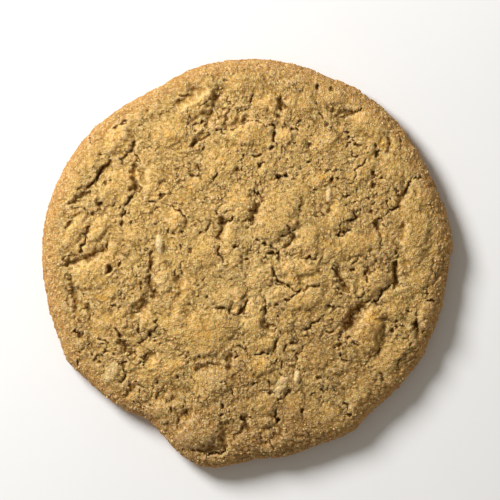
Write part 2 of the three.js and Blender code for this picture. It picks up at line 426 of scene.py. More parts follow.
# The main lumps, as the solid has them, but for the eighth, which rises 0.05 mm more here.
# Each row: x, y, long, wide, turn, rise.
MOUNDS = made_of(Mound, (
    (5.3, 9.2, 5.9, 4.2, 55, 0.95), (-1.6, 11, 3.7, 3.2, 80, 0.75), (-3.8, 4.8, 3.6, 1.7, 80, 0.55),
    (11.3, 4.7, 2.9, 2, 75, 0.5), (9.5, -0.8, 4, 1.9, -5, 0.7), (9.8, -6, 4.4, 2.9, 15, 0.7),
    (-8, -13, 6, 4.4, 20, 0.9), (1.1, -10.2, 3.6, 2.2, 100, 0.6), (-3.6, -6, 3.3, 2.2, 10, 0.6),
    (23, -12.6, 5.2, 2.6, 77, 1.1), (23.8, -3.6, 2.9, 2.4, 30, 0.85), (31.2, 5.5, 7, 3.2, 95, 0.75),
    (21.5, 17.5, 3.2, 2.4, 60, 0.45), (16.8, 9, 3.2, 2.8, 120, 0.7), (19.5, 3.4, 4.4, 2.6, 15, 0.35),
    (0.2, 24.8, 4.4, 2.8, 10, 0.85), (4.2, 30.2, 2.8, 1.5, 0, 0.6), (-10, 30, 4.4, 3, 35, 0.95),
    (-14.6, 24.8, 3.9, 2.8, 30, 0.75), (-24.6, 23.6, 3.7, 2.2, 55, 0.95), (-17.9, 15.6, 3.2, 2.2, 60, 0.7),
    (-32.5, 5.8, 3.7, 1.7, 50, 0.75), (-28.1, 6.4, 3.3, 1.9, 50, 0.75), (-29, -2, 4.5, 3.2, 0, 0.85),
    (-6.5, -22.3, 4.6, 3, 20, 0.6), (-9.6, -31.6, 5.4, 3.2, -8, 1.05), (2.4, -26.8, 3.4, 2.2, 0, 0.4),
    (21, -24.2, 3.6, 2, 70, 0.35),
))

# Smaller lumps between them.
LUMPS = made_of(Mound, (
    (12.8, -2.8, 2, 1.4, 10, 0.4), (-23.2, 12.4, 1.6, 1.4, 40, 0.4), (5.2, -6.4, 2.2, 1.8, 60, 0.5),
    (-1.6, -8, 1.6, 1.2, -40, 0.4), (-2.6, 1.4, 2.6, 1.6, 100, 0.5), (12, 2.8, 1.6, 1.8, 0, 0.35),
    (13, -6.8, 2.4, 1.8, 20, 0.35), (-22.9, 22.7, 2.2, 1.6, 55, 0.5), (-32.8, 2.9, 1.8, 1.4, 60, 0.45),
    (-27.2, -10.8, 2.2, 1.8, 0, 0.45), (-25.6, -5, 1.8, 1.6, 0, 0.35), (3.6, -30, 1.6, 1.4, 0, 0.35),
    (-16.1, 13, 1.6, 1.4, 40, 0.4), (-21.2, 5.2, 2.2, 2.4, 60, 0.35), (26.6, -5.4, 1.8, 1.4, 30, 0.35),
    (23.4, 22.2, 1.8, 1.6, 45, 0.35), (-25.4, 2.7, 1.7, 1.4, 30, 0.4), (-9.6, 14.7, 1.9, 1.6, 20, 0.4),
    (-13.4, 8.2, 2.6, 2.2, 70, 0.7), (-7.6, 31.4, 2, 1.3, 80, 0.4), (-15.6, -3.3, 2.5, 1.7, 80, 0.5),
    (-18.8, -10.6, 2.9, 2, 85, 0.6), (-14, -10.8, 2.6, 1.7, 10, 0.3), (-12.6, -8.8, 2.8, 1.9, 75, 0.5),
    (-13.2, -12.9, 2, 1.6, 60, 0.5), (2.3, -19.4, 2.3, 1.9, 10, 0.6), (3, -15.2, 2.4, 1.6, 0, 0.4),
    (-14.8, -20.4, 3.4, 2.2, 20, 0.4), (6.9, 24, 1.9, 1.6, 90, 0.55), (3.6, 23.2, 1.6, 2, 60, 0.45),
    (8.3, -3, 1.8, 1.4, -20, 0.4), (11.6, -0.9, 1.6, 1.4, 0, 0.3), (-17.5, -19, 1.3, 1.1, 90, 0.35),
    (-12.6, -18.9, 1.3, 1.2, 0, 0.35), (-14.4, -19.6, 1.6, 1.2, 30, 0.25), (14.2, 23, 3, 2.4, 40, 0.4),
    (-4.6, 19, 4.2, 2.8, 20, 0.4), (9.6, 13.2, 2.4, 1.8, 30, 0.35), (13.4, 15.6, 2, 1.5, 0, 0.35),
    (-23.6, 15.6, 3.4, 2.4, 25, 0.5), (-24.4, -11.5, 3, 2, 80, 0.35), (-8, 2.2, 3.2, 2.8, 40, 0.4),
    (-11.6, -4.6, 2.6, 2, 0, 0.35), (2.4, -3, 3, 2.2, 30, 0.4), (24.2, 4.6, 2.4, 2, 70, 0.4),
    (27.6, -8.4, 2.8, 2.2, 60, 0.4), (33.6, -9.6, 3.2, 1.8, 80, 0.5), (32.4, -1.6, 4, 2.4, 95, 0.35),
    (33.2, 13.4, 3.2, 2, 110, 0.4), (27, 17.8, 3, 2.2, 120, 0.4), (23, 26.4, 4, 2.6, 150, 0.45),
    (15.8, 32, 3.6, 2.2, 160, 0.4), (12.6, -17.6, 2.8, 3.4, 80, 0.3), (26.6, -17.6, 4.4, 2.2, 50, 0.4),
    (13.6, -28.6, 3.6, 2, 10, 0.35), (5.8, -34, 3.2, 1.6, 15, 0.35), (8.6, -27.4, 2.4, 2, 90, 0.3),
    (-16.8, -27.4, 3.6, 2, 15, 0.5), (-18, -20.6, 3.4, 2, 50, 0.25), (-33, 14.4, 3, 1.6, 70, 0.3),
    (-29.6, 20.4, 3.2, 1.6, 60, 0.3), (10.2, 30.4, 3, 2.2, 20, 0.35), (-2, 34, 3.2, 1.8, 5, 0.3),
    (-21, 27.8, 2.4, 1.4, 35, 0.3), (-27.6, -13.2, 2.8, 1.8, 120, 0.3),
))

# Chips of nut that stand proud of the crust. Each row may end with how pale the chip is.
NUT_CHIPS = made_of(NutChip, (
    (-25.4, -20.4, 2.1, 1.3, 68, 0.45, 0.35), (-16.5, 3.5, 2, 0.75, 97, 0.6),
    (15.2, 12.8, 1.6, 0.6, 88, 0.4, 0.7), (6.3, -23.2, 2.5, 1.2, 62, 0.36, 0.4),
    (9.3, -21.4, 1.5, 0.65, 86, 0.5),
))

# The cracks and valleys that show from above, each a bent line through its points. They were read
# off enlarged crops by eye, then turned into millimetres, joined and thinned by a scratch script.
CRACK_LINES = {
    Opening.VALLEY: (
        ((-5, 32.4), (-7, 28.6)), ((18.6, 27.6), (16.6, 27.4)), ((21.4, -7.6), (20.2, -8.4), (18.6, -11)),
        ((25.4, -11), (24.9, -14), (23.7, -17.2)), ((-14.4, -31), (-12.8, -29.4)),
        ((-26.6, 2.4), (-32.4, 1.4)), ((-32.9, -5.6), (-32.4, -9)),
        ((-17.7, -5.6), (-18.6, -7.1), (-21.4, -8.9)), ((-4.8, -34), (-4.2, -30.6)),
    ),
    Opening.HOLLOW: (
        ((21.2, -8), (19.8, -9.4), (18.7, -11.4)),
    ),
    Opening.GULLY: (
        ((-18.8, -7.6), (-21.2, -9.8)), ((-10.2, 32.4), (-8.8, 32.4)), ((-16.8, -4.6), (-17.4, -6)),
        ((-32.6, -5), (-32.6, -8.8)), ((-34, -0.2), (-27, 2.6)), ((-23.5, -15.2), (-21.8, -17.2)),
        ((-21.4, 14), (-20.8, 18)), ((-12.9, 30), (-10.4, 31.6)), ((6.4, 30.4), (6.6, 29.4)),
        ((17, -1.2), (18.2, -5)), ((27.4, -0.6), (27.7, -4.2)), ((-11.6, -28), (-11.3, -29)),
        ((-0.4, -29), (-0.6, -31)), ((-13.2, -31), (-12.8, -29.4)),
    ),
    Opening.TROUGH: (
        ((-30.2, -7.8), (-29.4, -10)), ((-9.4, -19.6), (-7.6, -19.9)), ((-3.4, -17.4), (-3.3, -19.6)),
        ((-17.6, -17.2), (-18.8, -18.6)), ((29.4, 13), (28.4, 10.8)), ((-13.2, -3), (-12.8, -5.4)),
        ((-19.7, 15.4), (-20.1, 17.6)), ((-31.8, -7.6), (-32.2, -9.8)), ((26.3, 22.9), (26, 21.4)),
        ((18.8, 26.4), (17, 27.2)), ((-22.4, -25), (-21.8, -23.6)), ((29.2, 5), (29, 7)),
        ((15.6, 11), (15.2, 9.6)), ((8.6, 4.8), (7.4, 3)), ((-26.2, 18.6), (-28.6, 14.8)),
        ((-29.5, 13.6), (-33.4, 11.6)), ((-27.9, 11.6), (-27.8, 10.6)), ((-6.4, 30.4), (-4.6, 32.4)),
        ((-10.2, 22.6), (-8, 24)), ((-7.6, 26), (-7.2, 28.6)), ((17, 27.9), (19.4, 28.2)),
        ((0.7, 7.8), (1.8, 11)), ((-17.7, 0.8), (-18.3, -3), (-17.2, -5.4)), ((-4, 25.8), (-0.6, 27.2)),
        ((-4.8, 8.2), (-5.2, 4.8)), ((24.4, 7.6), (25, 5.4)), ((31.3, -11.4), (31.8, -12.8)),
        ((-8.4, -35.6), (-5, -34.8), (-4.4, -33)), ((3, -11.6), (3.6, -12.4)),
    ),
    Opening.GAPING: (
        ((-27.3, 17.9), (-28.1, 16.8), (-28.9, 14.8)), ((-27.7, 17.7), (-28.6, 16.2)),
        ((-27.4, 11.7), (-28, 10.8), (-27.6, 10.4)), ((5.4, 16.2), (6.9, 16.8)),
        ((27.7, 0), (27.5, -2), (28, -3.5)), ((17.1, -1.8), (17.3, -2.9), (17.9, -3.4), (17.9, -4.4)),
        ((31.4, -11), (31.8, -12.6)), ((-5, 7.9), (-4.2, 7.5), (-3.2, 7.9), (-3, 8.4)),
        ((-23.3, -15), (-23.3, -16.5)), ((-18, -13), (-18.4, -13.7)), ((-1.1, -28.6), (-0.3, -30.7)),
        ((-7.6, -36.4), (-4.2, -35)),
    ),
    Opening.OPEN: (
        ((22.6, -1.2), (22.5, -2.6), (22.8, -3.4)), ((5, -1.2), (5.6, -3.1), (6.2, -3.6)),
        ((2, 18.1), (2.6, 18.9), (3.3, 19.1)), ((-28.9, 14.8), (-29.4, 14.2), (-30.4, 14.1), (-31, 13.4)),
        ((-25.6, 19.3), (-27.2, 17.3)), ((-25, 25.3), (-24.3, 25.4), (-22.8, 26.6)),
        ((-20.3, 17.9), (-20.1, 17), (-19.5, 16.9)), ((-21.3, 13.1), (-22.9, 11.2)),
        ((-10.3, 22.4), (-9, 22.8), (-7.2, 23.9)), ((-5.4, 24.9), (-3.2, 25.2), (-1.5, 26.5), (0.3, 27.2)),
        ((-5.4, 31.7), (-6, 30.6)), ((6.6, 31.3), (6.8, 30.2), (6.4, 28.9)),
        ((4.2, 25.6), (4.9, 25.1), (4.7, 24), (5.1, 22.3)),
        ((6.3, 25.5), (7.3, 25.7), (8.1, 25.2), (9.5, 25.3)), ((1.2, 20.1), (2.5, 20.4)),
        ((21, 28.8), (18.2, 27.6), (17.3, 27.5)), ((13.3, 28.4), (14.1, 27)), ((19.7, 22.9), (20.7, 22)),
        ((20.5, 18.3), (19.9, 18), (20, 16)), ((15.9, 16.5), (15.8, 15.7)), ((30.3, 15), (29, 12.5)),
        ((28.8, 10.8), (26.8, 9.9)), ((19.7, 9.8), (20.2, 8.7), (19.1, 7.8)),
        ((19.3, 6), (18.4, 5.8), (17.9, 5.1), (17.2, 5.1)), ((24.7, 6.8), (24.4, 6.1)),
        ((27, -3.9), (28.9, -3.9)), ((25.3, -5.3), (23.4, -7.3)), ((21, -7.7), (18.5, -11.2)),
        ((16, -0.4), (17.1, -1.9)), ((17.9, -4.4), (18.5, -4.7), (18.7, -5.6)),
        ((33.2, -6.7), (34.8, -7.4)), ((18, -26.1), (18.6, -26.2), (18.8, -27.6)), ((-5, 7.2), (-5.5, 5.2)),
        ((-5, 0.7), (-4, 0.1)), ((1.6, 13), (2, 13.3), (2.6, 12.7)), ((1.6, 10.3), (1.6, 9.4), (0.4, 8)),
        ((4, 1.6), (5, 1.5), (5.6, 1.8), (6, 0.6)), ((6.2, -3.6), (8.8, -4.8), (9.5, -4.8)),
        ((-5.9, -8.4), (-4.2, -8.1), (-3.6, -8.6)), ((-1.7, -9.3), (0.1, -7.1)),
        ((2.7, -11.3), (3.4, -11.8), (4.5, -11.5)), ((-12.8, 9.9), (-11.5, 8.3)),
        ((-30.5, 4.6), (-30.7, 3.8), (-31.9, 2.6)), ((-26.3, 3.9), (-26.4, 3)), ((-31.4, 0.6), (-34, -0.8)),
        ((-32.7, -12.4), (-31.5, -13.3)), ((-18.2, -1.5), (-18.4, -2.6), (-17.6, -5.3), (-15.9, -5.2)),
        ((-23.3, -16.5), (-22.5, -16.9), (-21.4, -16.9)), ((-18.6, -17.4), (-19.3, -18.1), (-19.3, -19.4)),
        ((-31.9, -18.3), (-31.7, -19.2)), ((-11.5, -27.6), (-10.9, -28.8)),
        ((-4.3, -34.6), (-4.2, -33.8), (-4.8, -32.9)), ((-4.8, -26.3), (-4.9, -27)),
        ((-1.7, -15.5), (-0.4, -15.8)), ((1.6, -17.1), (3.6, -16.9)), ((-2.4, -17.8), (-1.9, -17.2)),
    ),
    Opening.FINE: (
        ((0.5, 26.8), (2.2, 26.8), (3.4, 25.6), (4.3, 25.4)), ((10.3, -5.4), (10.9, -4.5), (13.2, -4.1)),
        ((-21.1, 22.8), (-21.8, 21.3), (-23.2, 19.6), (-23.3, 18.7)),
        ((-20.7, 14.9), (-20.1, 14.3), (-20.3, 13.7), (-21.3, 13.1)), ((-29.8, 23.6), (-29.2, 22.2)),
        ((-12.9, 30.1), (-12.3, 31), (-11.6, 31.4), (-10.6, 31.4)),
        ((-31.9, 11.6), (-32.7, 11.3), (-33.1, 10.5)), ((-10.2, 25.7), (-8, 26.6), (-7.3, 26.4)),
        ((-2.2, 28.7), (-0.3, 29)), ((0.3, 30.4), (0.9, 32)), ((-6.5, 15.4), (-5.5, 17)),
        ((-10.5, 16.8), (-9.8, 16.5), (-9, 16.6)), ((18, 24.8), (18.8, 24.4), (19.7, 22.9)),
        ((24, 22.2), (24.7, 21.2), (24.1, 19.8)), ((23.6, 17.7), (25, 16.2)),
        ((22, 19.7), (21.3, 18.7), (20.5, 18.3)), ((15.6, 15.1), (16.2, 14.3), (17.4, 13.9)),
        ((32.6, 16.6), (32.1, 16), (30.8, 15.9)), ((18.2, 13.5), (17.8, 13.1), (18.1, 12.5), (18.8, 12.8)),
        ((22.5, 12.8), (23.4, 11.6)), ((23.4, 7.9), (24.6, 6.6)), ((25.1, 5.7), (25, 3.6)),
        ((27.8, 2.1), (27.7, 0)), ((26.4, -4), (25.3, -5.3)), ((23, -6.9), (21.6, -7.3)),
        ((23.1, -2.1), (24.2, -1.2)), ((29.6, -8.9), (31.1, -9.8)),
        ((15, -7.8), (15.7, -7.9), (16.3, -8.4), (17.4, -8.3)), ((14.4, -9.5), (12.2, -11.3)),
        ((24.8, -15.6), (23.6, -17.3)), ((17.5, -13.2), (16.7, -14.7)),
        ((-5.5, 5.2), (-5.1, 4.3), (-5.5, 2.6), (-5, 0.7)), ((2.7, 12), (2.4, 11.2), (1.6, 10.4)),
        ((1.6, 4.7), (3, 3.9), (4.2, 3), (5.6, 2.2)), ((5.4, 2.3), (7.1, 2)), ((8, 5.6), (8.9, 6.8)),
        ((7.1, 1.1), (7.9, 1.6), (9.2, 1.8)), ((9.5, -4.8), (9.2, -5.5), (7.4, -6.6)),
        ((10.3, 1.3), (12.7, 1)), ((-3.6, -8.6), (-2.9, -9.1), (-1.7, -9.3)), ((3.6, -7.6), (3.3, -9.8)),
        ((-14.5, 10.4), (-13.6, 9.9), (-12.8, 9.9)), ((10.8, -12.2), (12.4, -11.4)),
        ((-33.1, 7.9), (-34.3, 6.4)), ((-29.9, 7), (-30.5, 4.6)), ((-30.2, 1), (-31, 0.9), (-31.7, 0.4)),
        ((-32.7, -7.2), (-32.4, -8.8)), ((-25.5, -8.1), (-23.9, -8.4)), ((-19.6, -8), (-21.8, -9.1)),
        ((-20.8, -10.8), (-20, -14.9)), ((-16.8, -10.8), (-17.7, -13)),
        ((-18, 2.2), (-18.3, 1.2), (-18.2, -1.3)), ((-22.6, 10), (-23.5, 9), (-23.9, 7.2)),
        ((-17.9, 11.9), (-17.2, 11.9), (-15.3, 12.9)), ((-17.8, 7.3), (-17.2, 7.7), (-16.2, 7.8)),
        ((-27.7, -14.3), (-26.5, -15.3)), ((-29.7, -14.4), (-29.8, -15.4), (-31.3, -16.3)),
        ((-25, -12.3), (-24, -13.2), (-23.4, -14.6)),
        ((-24, -18.2), (-22.8, -20.6), (-23, -21.6), (-24, -22.3)),
        ((-22.2, -24.9), (-21.9, -24.1), (-21.2, -23.7)), ((-17.3, -25.4), (-16.4, -24.3)),
        ((-19.3, -26.8), (-18.9, -27.4), (-18.3, -27.2), (-18.1, -26.6)),
        ((5.4, -27.8), (5.1, -28.5), (5.3, -29.3)), ((5.2, -31.8), (3.9, -33.3), (4.8, -35), (4.7, -36)),
        ((-12.1, -34.9), (-7.6, -35.7)), ((-8, -19.3), (-5.8, -19.1)), ((5.1, -14), (4.9, -16.4)),
        ((5.6, -17.6), (5, -19)), ((9.7, -16.9), (9.3, -17.6), (9.6, -18.5)),
        ((7.7, -23.8), (7, -25.2), (5.9, -26)), ((7.7, -14.7), (8.9, -14.8), (9.5, -14.3)),
    ),
}

CRACKS = tuple(Crack(opening, line) for opening, lines in CRACK_LINES.items() for line in lines)

# Each row: x, y, reach, and depth where it is not the usual one.
PITS = made_of(Pit, (
    (-26, -1.3, 0.75, 1.3), (5.6, -29.8, 0.6, 1.3), (-14, 5.3, 0.4), (13.3, 33, 0.6, 0.9), (-4, 34.3, 0.5),
    (5.8, 27.7, 0.5), (4.4, 21.6, 0.5), (12.8, 30.3, 0.5), (14.5, 25.9, 0.5), (28.9, 22.8, 0.5),
    (23.7, 14.4, 0.5), (15.6, 32.6, 0.5), (27.8, -10.7, 0.5), (32.8, -12.7, 0.5), (-29.2, 9.1, 0.5),
    (-31.3, -16.6, 0.5), (-23.1, -18.8, 0.5), (-27.7, -18.8, 0.5), (10.2, -27.8, 0.5), (4.4, -24.8, 0.5),
    (-2.5, 3.3, 0.45), (19, -14.2, 0.5), (19.6, -28.6, 0.5),
))

# Patches of colour. Each row: x, y, reach, and strength where it is not full.
GOLDEN_SPOTS = made_of(Spot, (
    (-12.9, 11.4, 1.1), (5.2, -9.5, 1.1), (13.9, 16.2, 1.2), (25, 22.4, 1.3), (-21.3, 16.4, 1.4, 0.8),
    (23.6, -10.2, 2.4), (22.8, -13.4, 2.4, 0.5), (-27.3, -6.5, 1.3, 0.6), (-21.3, -2.9, 1.2, 0.6),
    (-10.8, 13.7, 1.2, 0.7), (-13.5, 8.4, 1, 0.7), (-4.6, 19.4, 1.1, 0.7), (-14.9, 24.5, 1.2, 0.6),
    (-0.7, 11.8, 1, 0.6), (-3.6, 5.1, 1, 0.6), (7, 24, 1.4, 0.7), (8.5, -2.8, 1.1, 0.7),
    (11.6, -1, 1.2, 0.6), (-2.8, -0.6, 1.2, 0.4), (-17.5, -18.9, 0.8, 0.7), (-12.6, -19, 1, 0.8),
    (2.4, -19.4, 1.7, 0.7), (-8.6, -12.6, 2.6, 0.45), (-24.6, 23.4, 2.4, 0.35), (4.2, 30.2, 1.8, 0.5),
))

PALE_SPOTS = made_of(Spot, (
    (-26.2, -21.6, 0.9, 0.8), (-18.9, -26.8, 0.6, 0.9), (-19.7, 14.8, 0.7, 0.7), (-9.2, 19.9, 0.8, 0.6),
    (14.6, 23.1, 1.3, 0.6), (-15.6, -3.3, 1.7, 0.5), (5.2, -24.6, 0.9, 0.7), (20.7, -24.1, 1.5, 0.4),
    (-6.1, -22.4, 2.6, 0.3), (2, 3, 15, 0.12), (0, -5.5, 9, 0.24),
))

# Darker patches: partly deeper browning, and partly painted shade, mostly over the lower half, the side
# away from the lamp, and in a few valleys.
BROWNING_AND_SHADE_SPOTS = made_of(Spot, (
    (-9, -33, 10), (8, -34, 12), (13, -16, 8, 0.45), (-2, -23, 9, 0.7), (-31, -14, 6, 0.5),
    (20, -12, 5, 0.35), (-18, -27, 9, 0.4), (26, -1, 6, 0.2), (26, 8, 7, 0.2), (8, 30, 10, 0.3),
    (-19.2, -6.6, 2.6, 0.8), (-33, -7, 2.4, 0.7), (19.4, -9.8, 2.6), (-13.2, -29.8, 2.2), (0, -33.6, 7),
    (19, -20, 8, 0.45),
))


@dataclass(frozen=True)
class SmallBreaks:
    """Short thin cracks and small pits, strewn between the mounds by seeded draws."""

    cracks: int = 210
    steps: int = 3
    step: tuple[float, float] = (0.35, 1.0)
    bend: float = 50.0
    pits: int = 90
    pit_reach: tuple[float, float] = (0.2, 0.4)
    reach: float = 34.5
    spare: int = 3
    off_tops: float = 0.8

    def places(self, draw: np.random.Generator, wanted: int) -> Array:
        """Draw places that are off the tops of the mounds.

        Args:
            draw: Where the random numbers come from.
            wanted: How many places are wanted.

        Returns:
            The places, one a row.
        """
        radius = self.reach * np.sqrt(draw.random(self.spare * wanted))
        way = draw.uniform(0.0, 2.0 * math.pi, len(radius))
        x, y = radius * np.cos(way), radius * np.sin(way)
        nearest = np.min([mound.reach(x, y) for mound in MOUNDS + LUMPS + NUT_CHIPS], axis=0)
        return np.stack([x, y], axis=1)[nearest > self.off_tops][:wanted]

    def strewn(self) -> tuple[tuple[Crack, ...], tuple[Pit, ...]]:
        """Draw all the cracks and pits.

        Returns:
            The cracks, and the pits.
        """
        draw = np.random.default_rng(Layer.SMALL_BREAKS)
        cracks = []
        for place in self.places(draw, self.cracks):
            way = draw.uniform(0.0, 180.0)
            path = [tuple(place)]
            for _ in range(draw.integers(1, self.steps + 1)):
                way += draw.uniform(-self.bend, self.bend)
                step = draw.uniform(*self.step)
                x, y = path[-1]
                turned = math.radians(way)
                path.append((x + step * math.cos(turned), y + step * math.sin(turned)))
            cracks.append(Crack(Opening.THIN, tuple(path)))
        places = self.places(draw, self.pits)
        return tuple(cracks), tuple(Pit(*place, draw.uniform(*self.pit_reach)) for place in places)


# ---- Form of the cookie --------------------------------------------------------


@dataclass(frozen=True)
class Crumble:
    """Lumps of one size all over the crust, with seams between some of them.

    The lumps' outlines are warped, and the seams are open only in places.
    Those sizes are shares of a cell.
    """

    cell: float
    rise: float
    step: float
    seam: float
    seam_width: float
    layer: int
    roundness: float = 1.3
    warp_cell: float = 0.7
    warp_reach: float = 0.2
    open_cell: float = 1.6
    open_steepness: float = 3.0

    def relief(self, points: Array) -> tuple[Array, Array]:
        """Measure how far the lumps lift or sink the crust, and mask their open seams.

        Args:
            points: Points of the plain form, one a row.

        Returns:
            The heights, and the mask.
        """
        warp_layer, open_layer = self.layer + 20, self.layer + 30
        moved = warped(points, self.warp_cell * self.cell, self.warp_reach * self.cell, warp_layer)
        found = lumps(moved, self.cell, self.layer)
        opened = smooth(self.open_steepness * rolling_noise(points, self.open_cell * self.cell, open_layer))
        seam = found.crease(self.seam_width)
        pillow = self.rise * (0.5 - self.roundness * found.nearest**2)
        height = pillow + self.step * (found.draw - 0.5) * (1.0 - seam) - self.seam * seam * opened
        return height, seam * opened


@dataclass(frozen=True)
class CookieForm:
    """The sizes of the cookie and the shape of its crust."""

    mean_radius: float = 37.75
    centre: tuple[float, float] = (-0.15, 0.66)
    rim_width: float = 5.6
    shoulder_height: float = 6.2
    girth_height: float = 2.3
    crown_rise: float = 3.0
    foot_tuck: float = 1.0
    rim_fullness: float = 0.82
    crumb_cell: float = 4.8
    crumb_rise: float = 0.24
    crumb_roundness: float = 1.6
    roll_cell: float = 2.4
    roll_rise: float = 0.12
    calm_width: float = 6.5
    calm: float = 0.3
    wavy_cell: float = 2.4
    wavy_reach: float = 0.4
    ragged_cell: float = 0.65
    ragged_reach: float = 0.32
    ragged_width: float = 0.33
    crumbles: tuple[Crumble, ...] = (
        Crumble(3.0, 0.12, 0.17, 0.18, 0.1, Layer.COARSE_CRUMBLE),
        Crumble(1.5, 0.15, 0.15, 0.2, 0.17, Layer.MIDDLE_CRUMBLE),
        Crumble(0.75, 0.09, 0.16, 0.13, 0.3, Layer.FINE_CRUMBLE),
    )
    middle_seams: float = 0.7
    grit_cell: float = 0.34
    grit_rise: float = 0.1
    top_flat: float = 0.6
    top_slope: float = 0.5
    smoother_tops: float = 0.38
    grain_calm: float = 0.85
    grain_lean: tuple[float, float] = (-70.0, 60.0)
    sole_cell: float = 1.4
    sole_dimple: float = 0.14

    def outline(self, angle: Array) -> Array:
        """Measure the way from the centre to the outline, for angles in degrees.

        Args:
            angle: The ways round.

        Returns:
            The outline's radius at each of them.
        """
        radius = np.full(len(angle), self.mean_radius)
        for swell in OUTLINE_SWELLS:
            radius += swell.push(angle)
        return radius

    def calmed(self, inward: Array, calm: float) -> Array:
        """Ease from a calm share at the baked edge to 1 in the craggy middle."""
        return calm + (1.0 - calm) * smooth(inward / self.calm_width)

    def ragged(self, x: Array, y: Array) -> tuple[Array, Array]:
        """Shift places a little, so that edges drawn on them come out ragged."""
        wavy = warped(np.stack([x, y], axis=1), self.wavy_cell, self.wavy_reach, Layer.WAVY)
        return tuple(warped(wavy, self.ragged_cell, self.ragged_reach, Layer.RAGGED).T)

    def lifted(self, x: Array, y: Array, inward: Array) -> Array:
        """Measure how far lumps of all the larger sizes lift the crust.

        Args:
            x: Places across.
            y: Places up.
            inward: How far in from the outline each place is.

        Returns:
            The heights.
        """
        flat = np.stack([x, y], axis=1)
        nearest = lumps(flat, self.crumb_cell, Layer.CRUMB).nearest
        crumb = self.crumb_rise * (1.0 - self.crumb_roundness * nearest**2)
        roll = self.roll_rise * rolling_noise(flat, self.roll_cell, Layer.ROLL)
        total = self.calmed(inward, self.calm) * (crumb + roll)
        edge = self.ragged(x, y)
        for mound in MOUNDS + LUMPS:
            total += mound.lift(*edge)
        return total + sum(chip.lift(x, y) for chip in NUT_CHIPS)

    def sunk(self, x: Array, y: Array) -> tuple[Array, Array]:
        """Measure how deep the cracks and pits go, along ragged lines, and mask them.

        Args:
            x: Places across.
            y: Places up.

        Returns:
            The depths, and a mask of the narrower openings.
        """
        edge_x, edge_y = self.ragged(x, y)
        flat = np.stack([x, y], axis=1)
        wider = self.ragged_width * rolling_noise(flat, self.ragged_cell, Layer.CRACK_WIDTH)
        depth = np.zeros(len(x))
        opened = np.zeros(len(x))
        small_cracks, small_pits = SmallBreaks().strewn()
        for crack in CRACKS + small_cracks:
            near = crack.near(edge_x, edge_y)
            deeper, open_part = crack.cut(edge_x[near], edge_y[near], wider[near])
            depth[near] = np.maximum(depth[near], deeper)
            if crack.opening.half_width < WIDEST_COLOURED_CRACK:
                opened[near] = np.maximum(opened[near], open_part)
        for pit in PITS + small_pits:
            hole = pit.sunk(edge_x, edge_y)
            depth = np.maximum(depth, hole)
            opened = np.maximum(opened, hole / pit.depth)
        return depth, opened

    def tops(self, x: Array, y: Array) -> Array:
        """Mask the tops of the named mounds."""
        edge = self.ragged(x, y)
        return most([mound.cover(*edge, self.top_flat, self.top_slope) for mound in MOUNDS + LUMPS])

    def grained(self, points: Array) -> tuple[Array, Array]:
        """Measure the relief of the small lumps and the grit, and mask their seams.

        Args:
            points: Points of the plain form, one a row.

        Returns:
            The heights, and the mask.
        """
        found = [crumble.relief(points) for crumble in self.crumbles]
        calm = 1.0 - self.smoother_tops * self.tops(points[:, 0], points[:, 1])
        crumbs = sum(height for height, _ in found) * calm
        seams = np.maximum(found[0][1], self.middle_seams * found[1][1]) * calm
        return crumbs + self.grit_rise * rolling_noise(points, self.grit_cell, Layer.GRIT), seams


def ring_angles(count: int) -> Array:
    """Space angles evenly round a ring of this many points."""
    return np.arange(count) * 360.0 / count


